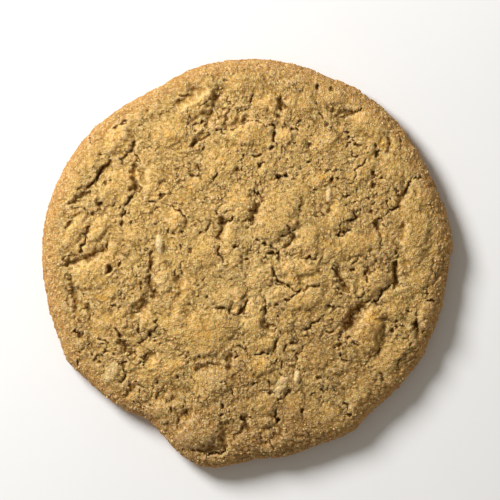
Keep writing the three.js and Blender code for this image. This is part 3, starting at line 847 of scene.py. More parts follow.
@dataclass
class Skin:
    """The plain rounded form of the cookie, gathered ring by ring.

    Each ring holds rows of its points' x, y and z, then of the way round, the
    way in from the outline, and the tilt of the surface, 90 where it faces up
    and -90 where it faces down.
    """

    form: CookieForm
    rings: list[Array] = field(default_factory=list)
    facets: list[Array] = field(default_factory=list)
    count: int = 0

    def add(self, angle: Array, radius: Array, height: Array, lean: float) -> int:
        """Add one ring of points.

        Args:
            angle: The ways round to the points.
            radius: The ways out from the centre.
            height: Their heights.
            lean: The tilt of the surface there.

        Returns:
            The number of the ring's first point.
        """
        start = self.count
        across, up = self.form.centre
        way = np.radians(angle)
        inward = self.form.outline(angle) - radius
        tilt = np.full(len(angle), lean)
        x, y = across + radius * np.cos(way), up + radius * np.sin(way)
        self.rings.append(np.stack([x, y, height, angle, inward, tilt]))
        self.count += len(angle)
        return start

    def middle(self, height: float, lean: float) -> int:
        """Add the one point in the middle and return its number."""
        return self.add(np.zeros(1), np.zeros(1), np.full(1, height), lean)

    def disc(self, ring: int, inner_start: int, outer_start: int, faces_up: bool) -> None:
        """Join ring k - 1, of 6 (k - 1) points, to ring k, of 6 k points.

        Args:
            ring: k.
            inner_start: The first point of ring k - 1.
            outer_start: The first point of ring k.
            faces_up: Whether the surface faces up.
        """
        count = SECTORS * ring
        sector, step = np.divmod(np.arange(count), ring)
        inner_count = max(SECTORS * (ring - 1), 1)
        inner = sector * (ring - 1) + step
        near = inner_start + inner % inner_count
        far = outer_start + np.arange(count)
        far_next = outer_start + (np.arange(count) + 1) % count
        self.join(near, far, far_next, faces_up)
        kept = step < ring - 1
        near_next = inner_start + (inner + 1) % inner_count
        self.join(near[kept], far_next[kept], near_next[kept], faces_up)

    def band(self, upper: int, lower: int, count: int) -> None:
        """Join two rings of the same number of points.

        Args:
            upper: The first point of the upper ring.
            lower: The first point of the lower ring.
            count: How many points each has.
        """
        here = np.arange(count)
        following = (here + 1) % count
        self.join(upper + here, lower + here, lower + following, True)
        self.join(upper + here, lower + following, upper + following, True)

    def halving(self, outer: int, inner: int, count: int) -> None:
        """Join a ring to one of half its points inside it, facing down.

        Args:
            outer: The first point of the outer ring.
            inner: The first point of the inner ring.
            count: How many points the outer ring has.
        """
        half = np.arange(count // 2)
        after = (half + 1) % (count // 2)
        self.join(inner + half, outer + 2 * half, outer + 2 * half + 1, False)
        self.join(inner + after, outer + 2 * half + 1, outer + (2 * half + 2) % count, False)
        self.join(inner + half, outer + 2 * half + 1, inner + after, False)

    def join(self, first: Array, second: Array, third: Array, faces_up: bool) -> None:
        """Add triangles, turned over where the surface faces down."""
        rows = (first, second, third) if faces_up else (first, third, second)
        self.facets.append(np.stack(rows, axis=1))


@dataclass(frozen=True)
class MaskSizes:
    """How far the masks reach that the finish colours by, in millimetres and degrees."""

    fine_rounds: int = 3
    fine_depth: float = 0.09
    broad_rounds: int = 60
    broad_depth: float = 0.5
    seam_share: float = 0.5
    rim_start: float = 0.8
    rim_fade: float = 3.4
    under_lean: float = -30.0
    lean_fade: float = 30.0
    nut_flat: float = 0.8
    nut_slope: float = 0.25


@dataclass
class Crust:
    """Builds the cookie's surface as one closed mesh, with masks for its colours."""

    form: CookieForm
    sizes: MaskSizes = MaskSizes()
    top_rings: int = 132
    rim_loops: int = 30
    foot_loops: int = 11
    sole_rings: int = 66
    name: str = "cookie_crust"
    masks: dict[str, Array] = field(default_factory=dict)
    lean: Array | None = None

    def skin(self) -> Skin:
        """Lay out the plain rounded form, ring by ring, from the top to the sole.

        Returns:
            The rings and the triangles between them.
        """
        form = self.form
        skin = Skin(form)
        inner = skin.middle(form.shoulder_height + form.crown_rise, 90.0)
        for ring in range(1, self.top_rings + 1):
            share = ring / self.top_rings
            angle = ring_angles(SECTORS * ring)
            radius = share * (form.outline(angle) - form.rim_width)
            height = np.full(len(angle), form.shoulder_height + form.crown_rise * (1.0 - share**2))
            outer = skin.add(angle, radius, height, 90.0)
            skin.disc(ring, inner, outer, True)
            inner = outer
        foot = self._rim(skin, inner)
        self._sole(skin, foot)
        return skin

    def _rim(self, skin: Skin, upper: int) -> int:
        """Lay out the rounded rim.

        Args:
            skin: What the rings are added to.
            upper: The first point of the top's outermost ring.

        Returns:
            The first point of the lowest ring.
        """
        form = self.form
        count = SECTORS * self.top_rings
        angle = ring_angles(count)
        outline = form.outline(angle)
        leans = np.concatenate([
            90.0 * (1.0 - np.arange(1, self.rim_loops + 1) / self.rim_loops),
            -90.0 * np.arange(1, self.foot_loops + 1) / self.foot_loops,
        ])
        for lean in leans:
            outward = max(math.cos(math.radians(lean)), 0.0) ** form.rim_fullness
            upward = math.sin(math.radians(abs(lean))) ** form.rim_fullness
            if lean >= 0:
                inset = form.rim_width * (1.0 - outward)
                height = form.girth_height + (form.shoulder_height - form.girth_height) * upward
            else:
                inset = form.foot_tuck * (1.0 - outward)
                height = form.girth_height * (1.0 - upward)
            lower = skin.add(angle, outline - inset, np.full(count, height), lean)
            skin.band(upper, lower, count)
            upper = lower
        return upper

    def _sole(self, skin: Skin, foot: int) -> None:
        """Lay out the flat sole inside the foot ring.

        Args:
            skin: What the rings are added to.
            foot: The first point of the foot ring.
        """
        form = self.form
        outer = 0
        for ring in range(self.sole_rings, 0, -1):
            angle = ring_angles(SECTORS * ring)
            radius = ring / (self.sole_rings + 0.5) * (form.outline(angle) - form.foot_tuck)
            inner = skin.add(angle, radius, np.zeros(len(angle)), -90.0)
            if ring == self.sole_rings:
                skin.halving(foot, inner, SECTORS * self.top_rings)
            else:
                skin.disc(ring + 1, inner, outer, False)
            outer = inner
        skin.disc(1, skin.middle(0.0, -90.0), outer, False)

    def build(self) -> bpy.types.Object:
        """Build the mesh and its masks.

        Returns:
            The crust's mesh object.
        """
        form = self.form
        skin = self.skin()
        facets = np.concatenate(skin.facets)
        x, y, z, angle, inward, lean = np.concatenate(skin.rings, axis=1)
        plain = np.stack([x, y, z], axis=1)
        way, lean = np.radians(angle), np.radians(lean)
        facing = np.stack([np.cos(lean) * np.cos(way), np.cos(lean) * np.sin(way), np.sin(lean)], axis=1)
        self.lean = np.degrees(lean)

        upward = smooth(np.clip(np.sin(lean), 0.0, 1.0) ** form.rim_fullness)
        above = np.sin(lean) > 0.0
        lifted = np.where(above, form.lifted(x, y, inward) * upward, 0.0)
        sunk, opened = form.sunk(x, y)
        sunk = np.where(above, sunk * upward, 0.0)
        grained, seams = form.grained(plain)
        lowest_grain, fade = form.grain_lean
        grained *= form.calmed(inward, form.grain_calm) * smooth((self.lean - lowest_grain) / fade)
        places = plain.copy()
        places[:, 2] += lifted - sunk
        places += facing * grained[:, None]
        straight_down = -0.999
        sole = np.sin(lean) < straight_down
        dimples = rolling_noise(plain[sole, :2], form.sole_cell, Layer.SOLE)
        places[sole, 2] = form.sole_dimple * smooth(dimples)
        places[:, 2] = np.maximum(places[:, 2], 0.0)

        built = closed_mesh(self.name, places * MM, facets)
        open_lines = most([opened, self.sizes.seam_share * seams]) * upward
        self._measure(built, places, facets, open_lines, inward)
        return built

    def _measure(self, built: bpy.types.Object, places: Array, facets: Array,
                 open_lines: Array, inward: Array) -> None:
        """Measure the masks that the finish colours by, and store them on the mesh.

        Args:
            built: The crust's mesh object.
            places: Its points, one a row.
            facets: Its triangles.
            open_lines: A mask of the cracks, pits and open seams.
            inward: How far in from the outline each point is.
        """
        sizes = self.sizes
        x, y, height = places.T
        edge = self.form.ragged(x, y)
        fine = (height - spread_out(height, facets, sizes.fine_rounds)) / sizes.fine_depth
        broad = (height - spread_out(height, facets, sizes.broad_rounds)) / sizes.broad_depth
        nut = [chip.cover(x, y, sizes.nut_flat, sizes.nut_slope) for chip in NUT_CHIPS]
        self.masks = {
            # Where painted shade goes, along the cracks, pits and open seams.
            "crack": np.clip(open_lines, 0.0, 1.0),
            # Where painted shade goes, in the small hollows.
            "fine_hollow": np.clip(-fine, 0.0, 1.0),
            # Where a painted highlight goes, on the small rises.
            "fine_rise_highlight": np.clip(fine, 0.0, 1.0),
            # Where painted shade goes, in the broad hollows.
            "hollow": np.clip(-broad, 0.0, 1.0),
            "rim": 1.0 - smooth((inward - sizes.rim_start) / sizes.rim_fade),
            "under": 1.0 - smooth((self.lean - sizes.under_lean) / sizes.lean_fade),
            "edge": 1.0 - smooth(self.lean / sizes.lean_fade),
            # Mound tops: they get a painted highlight, fewer crumbs and fewer creases.
            "top": self.form.tops(x, y),
            "golden": most([spot.mask(*edge) for spot in GOLDEN_SPOTS]),
            "pale": most([spot.mask(*edge) for spot in PALE_SPOTS]),
            # Where deeper browning and painted shade go.
            "browning_and_shade": most([spot.mask(*edge) for spot in BROWNING_AND_SHADE_SPOTS]),
            "nut": most(nut),
            "pale_nut": most([chip.pale * cover for chip, cover in zip(NUT_CHIPS, nut)]),
        }
        for name, values in self.masks.items():
            store(built, name, values)


@dataclass(frozen=True)
class Crumbs:
    """Loose crumbs of one kind, stuck half sunk all over the crust, in loose clumps."""

    name: str
    count: int
    radius: tuple[float, float]
    sunk: float
    clump_cell: float
    on_tops: float
    layer: int
    common: float = 0.7
    edge_lean: float = -25.0
    edge_fade: float = 30.0
    size_share: tuple[float, float] = (0.75, 0.5)
    off_point: float = 0.1
    stretch: tuple[float, float] = (0.7, 1.3)
    dents: tuple[float, float] = (0.8, 1.2)

    def build(self, crust: bpy.types.Object, masks: dict[str, Array], lean: Array) -> bpy.types.Object:
        """Scatter the crumbs over the crust as one mesh.

        Args:
            crust: The crust that carries them.
            masks: The crust's masks.
            lean: The tilt of the crust at each of its points.

        Returns:
            The new mesh object.
        """
        draw = np.random.default_rng(self.layer)
        places, facing = surface_of(crust)
        wanted = smooth(self.common + rolling_noise(places, self.clump_cell, self.layer))
        wanted *= 1.0 - (1.0 - self.on_tops) * masks["top"]
        wanted *= (1.0 - masks["nut"]) * smooth((lean - self.edge_lean) / self.edge_fade)
        chosen = draw.choice(len(places), self.count, replace=False, p=wanted / wanted.sum())
        smallest, more = self.size_share
        radius = draw.uniform(*self.radius, self.count) * (smallest + more * draw.random(self.count))
        middle = places[chosen] + draw.uniform(-self.off_point, self.off_point, (self.count, 3))
        middle -= facing[chosen] * (self.sunk * radius)[:, None]
        corners, sides = icosahedron()
        stretch = draw.uniform(*self.stretch, (self.count, 1, 3))
        dents = draw.uniform(*self.dents, (self.count, len(corners), 1))
        points = middle[:, None, :] + corners[None] * radius[:, None, None] * stretch * dents
        points[:, :, 2] = np.maximum(points[:, :, 2], 0.0)
        facets = sides[None] + (np.arange(self.count) * len(corners))[:, None, None]
        built = closed_mesh(self.name, points.reshape(-1, 3) * MM, facets.reshape(-1, 3))
        store(built, "shade", np.repeat(draw.random(self.count), len(corners)))
        return built


def store(built: bpy.types.Object, name: str, values: Array) -> None:
    """Store one value for each point of a mesh, for its finish to read."""
    layer = built.data.attributes.new(name, "FLOAT", "POINT")
    layer.data.foreach_set("value", values.astype(np.float32))


def surface_of(built: bpy.types.Object) -> tuple[Array, Array]:
    """Read a mesh's points, in millimetres, and the way each of them faces.

    Args:
        built: The mesh object.

    Returns:
        The points and the ways, one a row.
    """
    places, facing = np.empty((2, 3 * len(built.data.vertices)), dtype=np.float32)
    built.data.vertices.foreach_get("co", places)
    built.data.vertices.foreach_get("normal", facing)
    return places.reshape(-1, 3).astype(float) / MM, facing.reshape(-1, 3).astype(float)


def icosahedron() -> tuple[Array, Array]:
    """Work out the corners and sides of a solid with twenty sides and radius one.

    Returns:
        The corners, and three corner numbers for each side.
    """
    golden = (1.0 + math.sqrt(5.0)) / 2.0
    corners = np.array([
        np.roll((0.0, first, second * golden), turn)
        for turn in range(3) for first in (-1.0, 1.0) for second in (-1.0, 1.0)
    ]) / math.hypot(1.0, golden)
    longest_edge = 1.2
    sides = []
    for trio in itertools.combinations(range(len(corners)), 3):
        first, second, third = corners[list(trio)]
        edges = (second - first, third - first, third - second)
        if all(np.linalg.norm(edge) < longest_edge for edge in edges):
            faces_out = np.dot(np.cross(edges[0], edges[1]), first) > 0
            sides.append(trio if faces_out else trio[::-1])
    return corners, np.array(sides)


def spread_out(values: Array, facets: Array, rounds: int) -> Array:
    """Even out values over the surface, each point with its neighbours.

    Args:
        values: One value for each point.
        facets: The triangles that join the points.
        rounds: How many times the values are evened out.

    Returns:
        The evened values.
    """
    kept = 0.3
    pairs = np.concatenate([facets[:, (0, 1)], facets[:, (1, 2)], facets[:, (2, 0)]])
    joined = np.bincount(pairs[:, 0], minlength=len(values))
    for _ in range(rounds):
        total = np.bincount(pairs[:, 0], weights=values[pairs[:, 1]], minlength=len(values))
        values = kept * values + (1.0 - kept) * total / joined
    return values


def closed_mesh(name: str, places: Array, facets: Array) -> bpy.types.Object:
    """Make a smooth-shaded mesh object from points in metres and triangles.

    Args:
        name: The object's name.
        places: The points, in metres, one a row.
        facets: Three point numbers for each triangle.

    Returns:
        The new object.
    """
    mesh = bpy.data.meshes.new(name)
    mesh.vertices.add(len(places))
    mesh.vertices.foreach_set("co", places.astype(np.float32).ravel())
    mesh.loops.add(facets.size)
    mesh.loops.foreach_set("vertex_index", facets.astype(np.int32).ravel())
    mesh.polygons.add(len(facets))
    mesh.polygons.foreach_set("loop_start", np.arange(0, facets.size, 3, dtype=np.int32))
    mesh.polygons.foreach_set("use_smooth", np.ones(len(facets), dtype=bool))
    mesh.update(calc_edges=True)
    mesh.validate()
    built = bpy.data.objects.new(name, mesh)
    bpy.context.scene.collection.objects.link(built)
    return built


# ---- Finishes --------------------------------------------------------------------


class Wiring:
    """Adds and joins the nodes of one material or node group."""

    def __init__(self, tree: bpy.types.NodeTree) -> None:
        """Work on this node tree."""
        self.tree = tree

    def node(self, kind: str, settings: dict | None = None, **sockets: Value) -> Node:
        """Add a node.

        Args:
            kind: The node's type, without the ShaderNode prefix.
            settings: Properties of the node itself.
            **sockets: What goes into its inputs, with _ for a space: a number,
                a colour, or the output of another node.

        Returns:
            The new node.
        """
        made = self.tree.nodes.new("ShaderNode" + kind)
        for key, value in (settings or {}).items():
            setattr(made, key, value)
        for key, value in sockets.items():
            self.feed(made.inputs[key.replace("_", " ")], value)
        return made

    def feed(self, socket: Socket, value: Value) -> None:
        """Join an output to an input, or set the input to a plain value.

        Args:
            socket: The input.
            value: The output of another node, a number or a colour.
        """
        if isinstance(value, Socket):
            self.tree.links.new(value, socket)
        elif isinstance(value, tuple) and len(socket.default_value) == 4:
            socket.default_value = (*value, 1.0)
        else:
            socket.default_value = value

    def sum(self, operation: str, *values: Value) -> Socket:
        """Do a sum on up to three values."""
        return self._worked("Math", operation, values)

    def vector_sum(self, operation: str, *values: Value) -> Socket:
        """Do a sum on two places."""
        return self._worked("VectorMath", operation, values)

    def _worked(self, kind: str, operation: str, values: tuple) -> Socket:
        """Feed values to the first inputs of a node that does sums.

        Args:
            kind: The node's type.
            operation: The sum that it does.
            values: What goes in.

        Returns:
            What comes out.
        """
        made = self.node(kind, {"operation": operation})
        for socket, value in zip(made.inputs, values):
            self.feed(socket, value)
        return made.outputs[0]

    def times(self, first: Value, second: Value, plus: Value | None = None) -> Socket:
        """Multiply two values, and add a third where there is one.

        Args:
            first: A value.
            second: The value that it is multiplied by.
            plus: The value that is added.

        Returns:
            What comes out.
        """
        if plus is None:
            return self.sum("MULTIPLY", first, second)
        return self.sum("MULTIPLY_ADD", first, second, plus)

    def rest(self, value: Value) -> Socket:
        """Take a value from 1."""
        return self.sum("SUBTRACT", 1.0, value)

    def eased(self, value: Value, low: Value, high: Value) -> Socket:
        """Turn a value into a mask, 0 at low and 1 at high.

        Args:
            value: The value.
            low: Where the mask is 0.
            high: Where it is 1.

        Returns:
            The mask.
        """
        made = self.node("MapRange", {"interpolation_type": "SMOOTHSTEP"},
                         Value=value, From_Min=low, From_Max=high)
        return made.outputs[0]

    def blend(self, share: Value, first: Value, second: Value) -> Socket:
        """Blend two colours by a mask.

        Args:
            share: The mask, 0 for the first colour and 1 for the second.
            first: A colour.
            second: Another colour.

        Returns:
            The blended colour.
        """
        made = self.node("Mix", {"data_type": "RGBA"})
        factor, _, _, _, _, _, colour, other_colour = made.inputs[:8]
        for socket, value in ((factor, share), (colour, first), (other_colour, second)):
            self.feed(socket, value)
        return made.outputs[2]

    def mask(self, name: str) -> Socket:
        """Read one of the masks stored on the mesh."""
        return self.node("Attribute", {"attribute_name": name}).outputs["Fac"]

    def place(self) -> Socket:
        """Read the place on the object, in metres."""
        return self.node("TexCoord").outputs["Object"]

    def channel(self, colour: Socket, number: int) -> Socket:
        """Take one channel of a colour, as a draw that a whole cell shares."""
        return self.node("SeparateColor", Color=colour).outputs[number]


class EffectGroup:
    """A node group that several finishes share."""

    def __init__(self, name: str, inputs: dict[str, float], outputs: tuple[str, ...]) -> None:
        """Make the group and its sockets.

        Args:
            name: The group's name.
            inputs: The name and usual value of each number that goes in.
            outputs: The name of each value that comes out.
        """
        self.tree = bpy.data.node_groups.new(name, "ShaderNodeTree")
        new_socket = self.tree.interface.new_socket
        for key, value in inputs.items():
            new_socket(key, in_out="INPUT", socket_type="NodeSocketFloat").default_value = value
        for key in outputs:
            new_socket(key, in_out="OUTPUT", socket_type="NodeSocketFloat")
        self.wiring = Wiring(self.tree)
        self.given = self.tree.nodes.new("NodeGroupInput").outputs
        self.result = self.tree.nodes.new("NodeGroupOutput").inputs

    def give(self, **results: Socket) -> EffectGroup:
        """Join what the group works out to its outputs, with _ for a space.

        Args:
            **results: The value for each output.

        Returns:
            The group itself.
        """
        for key, value in results.items():
            self.wiring.feed(self.result[key.replace("_", " ")], value)
        return self

    def use(self, wiring: Wiring, **values: float) -> bpy.types.bpy_prop_collection:
        """Use the group in a finish.

        Args:
            wiring: The finish's wiring.
            **values: The group's own inputs, with _ for a space.

        Returns:
            Its outputs.
        """
        made = wiring.tree.nodes.new("ShaderNodeGroup")
        made.node_tree = self.tree
        for key, value in values.items():
            wiring.feed(made.inputs[key.replace("_", " ")], value)
        return made.outputs


@dataclass(frozen=True)
class SandyGrain:
    """Sandy grain of one size: masks of its pale and brown grains, and their height."""

    raggedness: float = 0.5
    outside: float = 0.85
    inside: float = 0.35
    lowest: float = 0.4

    def make(self) -> EffectGroup:
        """Build the node group.

        Returns:
            The group.
        """
        group = EffectGroup(
            "sandy_grain",
            {"Grain Size": 0.5, "Pale Share": 0.2, "Brown Share": 0.2},
            ("Pale Grains", "Brown Grains", "Height"),
        )
        wiring, given = group.wiring, group.given
        place = wiring.place()
        per_metre = wiring.sum("DIVIDE", 1.0 / MM, given["Grain Size"])
        cells = wiring.node("TexVoronoi", Vector=place, Scale=per_metre).outputs
        bend = wiring.node("TexNoise", Vector=place, Scale=per_metre, Detail=2.0, Roughness=0.6)
        bend = bend.outputs["Fac"]
        ragged = wiring.times(bend, self.raggedness, cells["Distance"])
        body = wiring.eased(ragged, self.outside, self.inside)
        is_pale, is_brown, height = (wiring.channel(cells["Color"], number) for number in range(3))
        pale = wiring.sum("LESS_THAN", is_pale, given["Pale Share"])
        brown = wiring.sum("LESS_THAN", is_brown, given["Brown Share"])
        lifted = wiring.times(body, wiring.times(height, 1.0 - self.lowest, self.lowest))
        return group.give(
            Pale_Grains=wiring.times(pale, body),
            Brown_Grains=wiring.times(brown, body),
            Height=wiring.times(bend, self.raggedness, lifted),
        )


@dataclass(frozen=True)
class FinePlates:
    """Small ragged plates of crust: hairline creases between them, and a tone for each.

    The sizes are shares of a plate.
    """

    bend_size: float = 1.0 / 2.4
    bend_reach: float = 0.55
    open_size: float = 1.0 / 1.3
    open_steepness: float = 8.0
    crease_fade: float = 0.7

    def make(self) -> EffectGroup:
        """Build the node group.

        Returns:
            The group.
        """
        group = EffectGroup(
            "fine_plates",
            {"Plate Size": 1.5, "Crease Width": 0.1, "Open Share": 0.5},
            ("Crease", "Tone"),
        )
        wiring, given = group.wiring, group.given
        place = wiring.place()
        size = wiring.times(given["Plate Size"], MM)
        bend = wiring.node("TexNoise", Vector=place, Detail=3.0,
                           Scale=wiring.sum("DIVIDE", 1.0 / self.bend_size, size))
        shift = wiring.vector_sum("SUBTRACT", bend.outputs["Color"], (0.5, 0.5, 0.5))
        reach = wiring.node("VectorMath", {"operation": "SCALE"}, Scale=wiring.times(size, self.bend_reach))
        wiring.feed(reach.inputs[0], shift)
        moved = wiring.vector_sum("ADD", place, reach.outputs[0])
        scale = wiring.sum("DIVIDE", 1.0, size)
        edge = wiring.node("TexVoronoi", {"feature": "DISTANCE_TO_EDGE"}, Vector=moved, Scale=scale)
        cells = wiring.node("TexVoronoi", Vector=moved, Scale=scale)
        gate = wiring.node("TexNoise", Vector=place, Detail=1.0,
                           Scale=wiring.sum("DIVIDE", 1.0 / self.open_size, size))
        past = wiring.sum("SUBTRACT", gate.outputs["Fac"], wiring.rest(given["Open Share"]))
        opened = wiring.eased(wiring.times(past, self.open_steepness, 0.5), 0.0, 1.0)
        line = wiring.rest(wiring.sum("DIVIDE", edge.outputs["Distance"], given["Crease Width"]))
        return group.give(
            Crease=wiring.times(wiring.eased(line, 0.0, self.crease_fade), opened),
            Tone=wiring.channel(cells.outputs["Color"], 0),
        )


def patchy_bake() -> EffectGroup:
    """Soft-edged patches, as where the dough baked darker.

    Returns:
        The group.
    """
    group = EffectGroup("patchy_bake", {"Patch Size": 6.0, "Softness": 0.15}, ("Patch",))
    wiring, given = group.wiring, group.given
    per_metre = wiring.sum("DIVIDE", 1.0 / MM, given["Patch Size"])
    cloud = wiring.node("TexNoise", Vector=wiring.place(), Scale=per_metre, Detail=4.0, Roughness=0.6)
    low = wiring.sum("SUBTRACT", 0.5, given["Softness"])
    high = wiring.sum("ADD", 0.5, given["Softness"])
    return group.give(Patch=wiring.eased(cloud.outputs["Fac"], low, high))


def new_finish(name: str, **constants: float | Colour) -> tuple[bpy.types.Material, Wiring, Node]:
    """Start a material.

    Args:
        name: The material's name.
        **constants: Plain values for its shader's sockets, with _ for a space.

    Returns:
        The material, the wiring of its nodes, and its shader.
    """
    material = bpy.data.materials.new(name)
    material.use_nodes = True
    shader = material.node_tree.nodes["Principled BSDF"]
    for key, value in constants.items():
        shader.inputs[key.replace("_", " ")].default_value = value
    return material, Wiring(material.node_tree), shader


@dataclass(frozen=True)
class BakedDough:
    """The finish of the crust: golden tan, sandy, with painted shade in its cracks, creases and hollows,
    and painted highlights on small rises and mound tops.
    """

    tan: Colour = sight(206, 168, 92)
    deep_tan: Colour = sight(198, 154, 74)
    # A richer tan for random plate tones, and a painted highlight on the mound tops, lighter and more
    # golden.
    golden_tone_and_highlight: Colour = sight(217, 172, 90)
    # A duller tan for random mottling and plate tones, and painted shade in the broad hollows.
    dull_tone_and_shade: Colour = sight(174, 140, 78)
    rim_tan: Colour = sight(190, 138, 70)
    # Sugar grains, and a painted highlight on the small rises.
    sugar_and_highlight: Colour = sight(255, 228, 172)
    # Brown specks, and painted shade in the small hollows.
    speck_and_hollow_shade: Colour = sight(140, 98, 36)
    # Painted shade in the hairline creases.
    painted_crease_shade: Colour = sight(118, 78, 20)
    # Painted shade along the cracks, pits and open seams.
    painted_crack_shade: Colour = sight(112, 72, 12)
    edge_brown: Colour = sight(172, 110, 44)
    # Deeper browning, and painted shade on the lower half and in a few valleys.
    browning_and_shade: Colour = sight(164, 119, 54)
    golden: Colour = sight(234, 178, 78)
    cream: Colour = sight(240, 208, 142)
    nut: Colour = sight(240, 212, 156)
    sole_brown: Colour = sight(176, 122, 60)
    grain_size: float = 0.42
    grain_height: float = 0.13
    dust_size: float = 0.5
    dust_height: float = 1.1
    crease_depth: float = 0.22
    plate_step: float = 0.26
    small_plate_step: float = 0.6
    creases_lost: float = 0.6
    crack_edge: tuple[float, float] = (0.25, 0.75)
    roughness: float = 0.85
    specular: float = 0.35
    scatter: float = 0.4
    scatter_colour: Colour = (1.0, 0.42, 0.08)
    scatter_depth: float = 0.6

    def make(self, grain: EffectGroup, plates: EffectGroup, bake: EffectGroup) -> bpy.types.Material:
        """Build the material from the shared effects.

        Args:
            grain: The sandy grain.
            plates: The fine plates.
            bake: The patches.

        Returns:
            The material.
        """
        material, wiring, shader = new_finish(
            "baked_dough", Roughness=self.roughness, Specular_IOR_Level=self.specular,
            Subsurface_Weight=self.scatter, Subsurface_Radius=self.scatter_colour,
            Subsurface_Scale=self.scatter_depth * MM,
        )
        sand = grain.use(wiring, Grain_Size=self.grain_size, Pale_Share=0.25, Brown_Share=0.22)
        dust_size = self.dust_size * self.grain_size
        dust = grain.use(wiring, Grain_Size=dust_size, Pale_Share=0.3, Brown_Share=0.3)
        large = plates.use(wiring, Plate_Size=2.6, Crease_Width=0.07, Open_Share=0.45)
        small = plates.use(wiring, Plate_Size=1.3, Crease_Width=0.11, Open_Share=0.36)
        patch = bake.use(wiring, Patch_Size=7.0, Softness=0.16)["Patch"]
        mottle = bake.use(wiring, Patch_Size=1.6, Softness=0.2)["Patch"]
        seen = {name: wiring.mask(name) for name in (
            "crack", "fine_hollow", "fine_rise_highlight", "hollow", "rim", "under", "edge", "top",
            "golden", "pale", "browning_and_shade", "nut", "pale_nut",
        )}
        calm = wiring.times(wiring.sum("MAXIMUM", seen["top"], seen["rim"]), self.creases_lost)
        calm = wiring.sum("MAXIMUM", calm, seen["nut"])
        crease = wiring.sum("MAXIMUM", large["Crease"], small["Crease"])
        crease = wiring.times(crease, wiring.rest(calm))

        # Each layer is a mask, how strongly it shows, and its colour.
        layers = (
            (patch, 0.8, self.deep_tan),
            (mottle, 0.3, self.dull_tone_and_shade),
            # Painted shade in the broad hollows.
            (seen["hollow"], 0.6, self.dull_tone_and_shade),
            (large["Tone"], 0.4, self.golden_tone_and_highlight),
            (small["Tone"], 0.25, self.dull_tone_and_shade),
            # Painted highlight on the mound tops.
            (seen["top"], 0.8, self.golden_tone_and_highlight),
            (seen["rim"], wiring.times(mottle, 0.3, 0.7), self.rim_tan),
            # Partly deeper browning, partly painted shade.
            (seen["browning_and_shade"], 0.95, self.browning_and_shade),
            (seen["golden"], 1.0, self.golden),
            (seen["pale"], 1.0, self.cream),
            (dust["Pale Grains"], 1.0, self.sugar_and_highlight),
            (dust["Brown Grains"], 1.0, self.speck_and_hollow_shade),
            (sand["Pale Grains"], 0.7, self.sugar_and_highlight),
            (sand["Brown Grains"], 0.5, self.speck_and_hollow_shade),
            # Painted highlight on the small rises.
            (seen["fine_rise_highlight"], 0.35, self.sugar_and_highlight),
            # Painted shade in the small hollows.
            (seen["fine_hollow"], 0.45, self.speck_and_hollow_shade),
            (seen["pale_nut"], 1.0, self.nut),
            # Painted shade in the hairline creases.
            (crease, 0.65, self.painted_crease_shade),
            # Painted shade in the cracks.
            (wiring.eased(seen["crack"], *self.crack_edge), 0.9, self.painted_crack_shade),
            (seen["edge"], 0.6, self.edge_brown),
            (seen["under"], 1.0, self.sole_brown),
        )
        colour = self.tan
        for mask, strength, tint in layers:
            colour = wiring.blend(wiring.times(mask, strength), colour, tint)
        wiring.feed(shader.inputs["Base Color"], colour)

        height = wiring.times(crease, -self.crease_depth)
        height = wiring.times(large["Tone"], self.plate_step, height)
        height = wiring.times(small["Tone"], self.small_plate_step * self.plate_step, height)
        sandy = wiring.times(dust["Height"], self.dust_height, sand["Height"])
        height = wiring.times(sandy, self.grain_height, height)
        bump = wiring.node("Bump", Height=height, Distance=MM, Strength=1.0)
        wiring.feed(shader.inputs["Normal"], bump.outputs[0])
        return material


@dataclass(frozen=True)
class CrumbDough:
    """The finish of the loose crumbs of one kind, each of its own shade."""

    name: str
    light: Colour
    dark: Colour
    roughness: float = 0.8
    mottle_share: float = 0.3
    shade_share: float = 0.7
    scatter: float = 0.35
    scatter_colour: Colour = (1.0, 0.45, 0.15)
    scatter_depth: float = 0.4

    def make(self, bake: EffectGroup) -> bpy.types.Material:
        """Build the material from the shared effects.

        Args:
            bake: The patches.

        Returns:
            The material.
        """
        material, wiring, shader = new_finish(
            self.name, Roughness=self.roughness, Subsurface_Weight=self.scatter,
            Subsurface_Radius=self.scatter_colour, Subsurface_Scale=self.scatter_depth * MM,
        )
        patch = bake.use(wiring, Patch_Size=0.4, Softness=0.2)["Patch"]
        shade = wiring.times(wiring.mask("shade"), self.shade_share)
        share = wiring.times(patch, self.mottle_share, shade)
        wiring.feed(shader.inputs["Base Color"], wiring.blend(share, self.light, self.dark))
        return material


@dataclass(frozen=True)
class StudioPaper:
    """The finish of the floor: near-white paper with the faintest tooth."""

    white: Colour = (0.9, 0.9, 0.9)
    off_white: Colour = (0.87, 0.87, 0.87)
    roughness: float = 0.9

    def make(self, bake: EffectGroup) -> bpy.types.Material:
        """Build the material from the shared effects.

        Args:
            bake: The patches.

        Returns:
            The material.
        """
        material, wiring, shader = new_finish("studio_paper", Roughness=self.roughness)
        patch = bake.use(wiring, Patch_Size=40.0, Softness=0.4)["Patch"]
        wiring.feed(shader.inputs["Base Color"], wiring.blend(patch, self.white, self.off_white))
        return material


# ---- Studio ------------------------------------------------------------------------


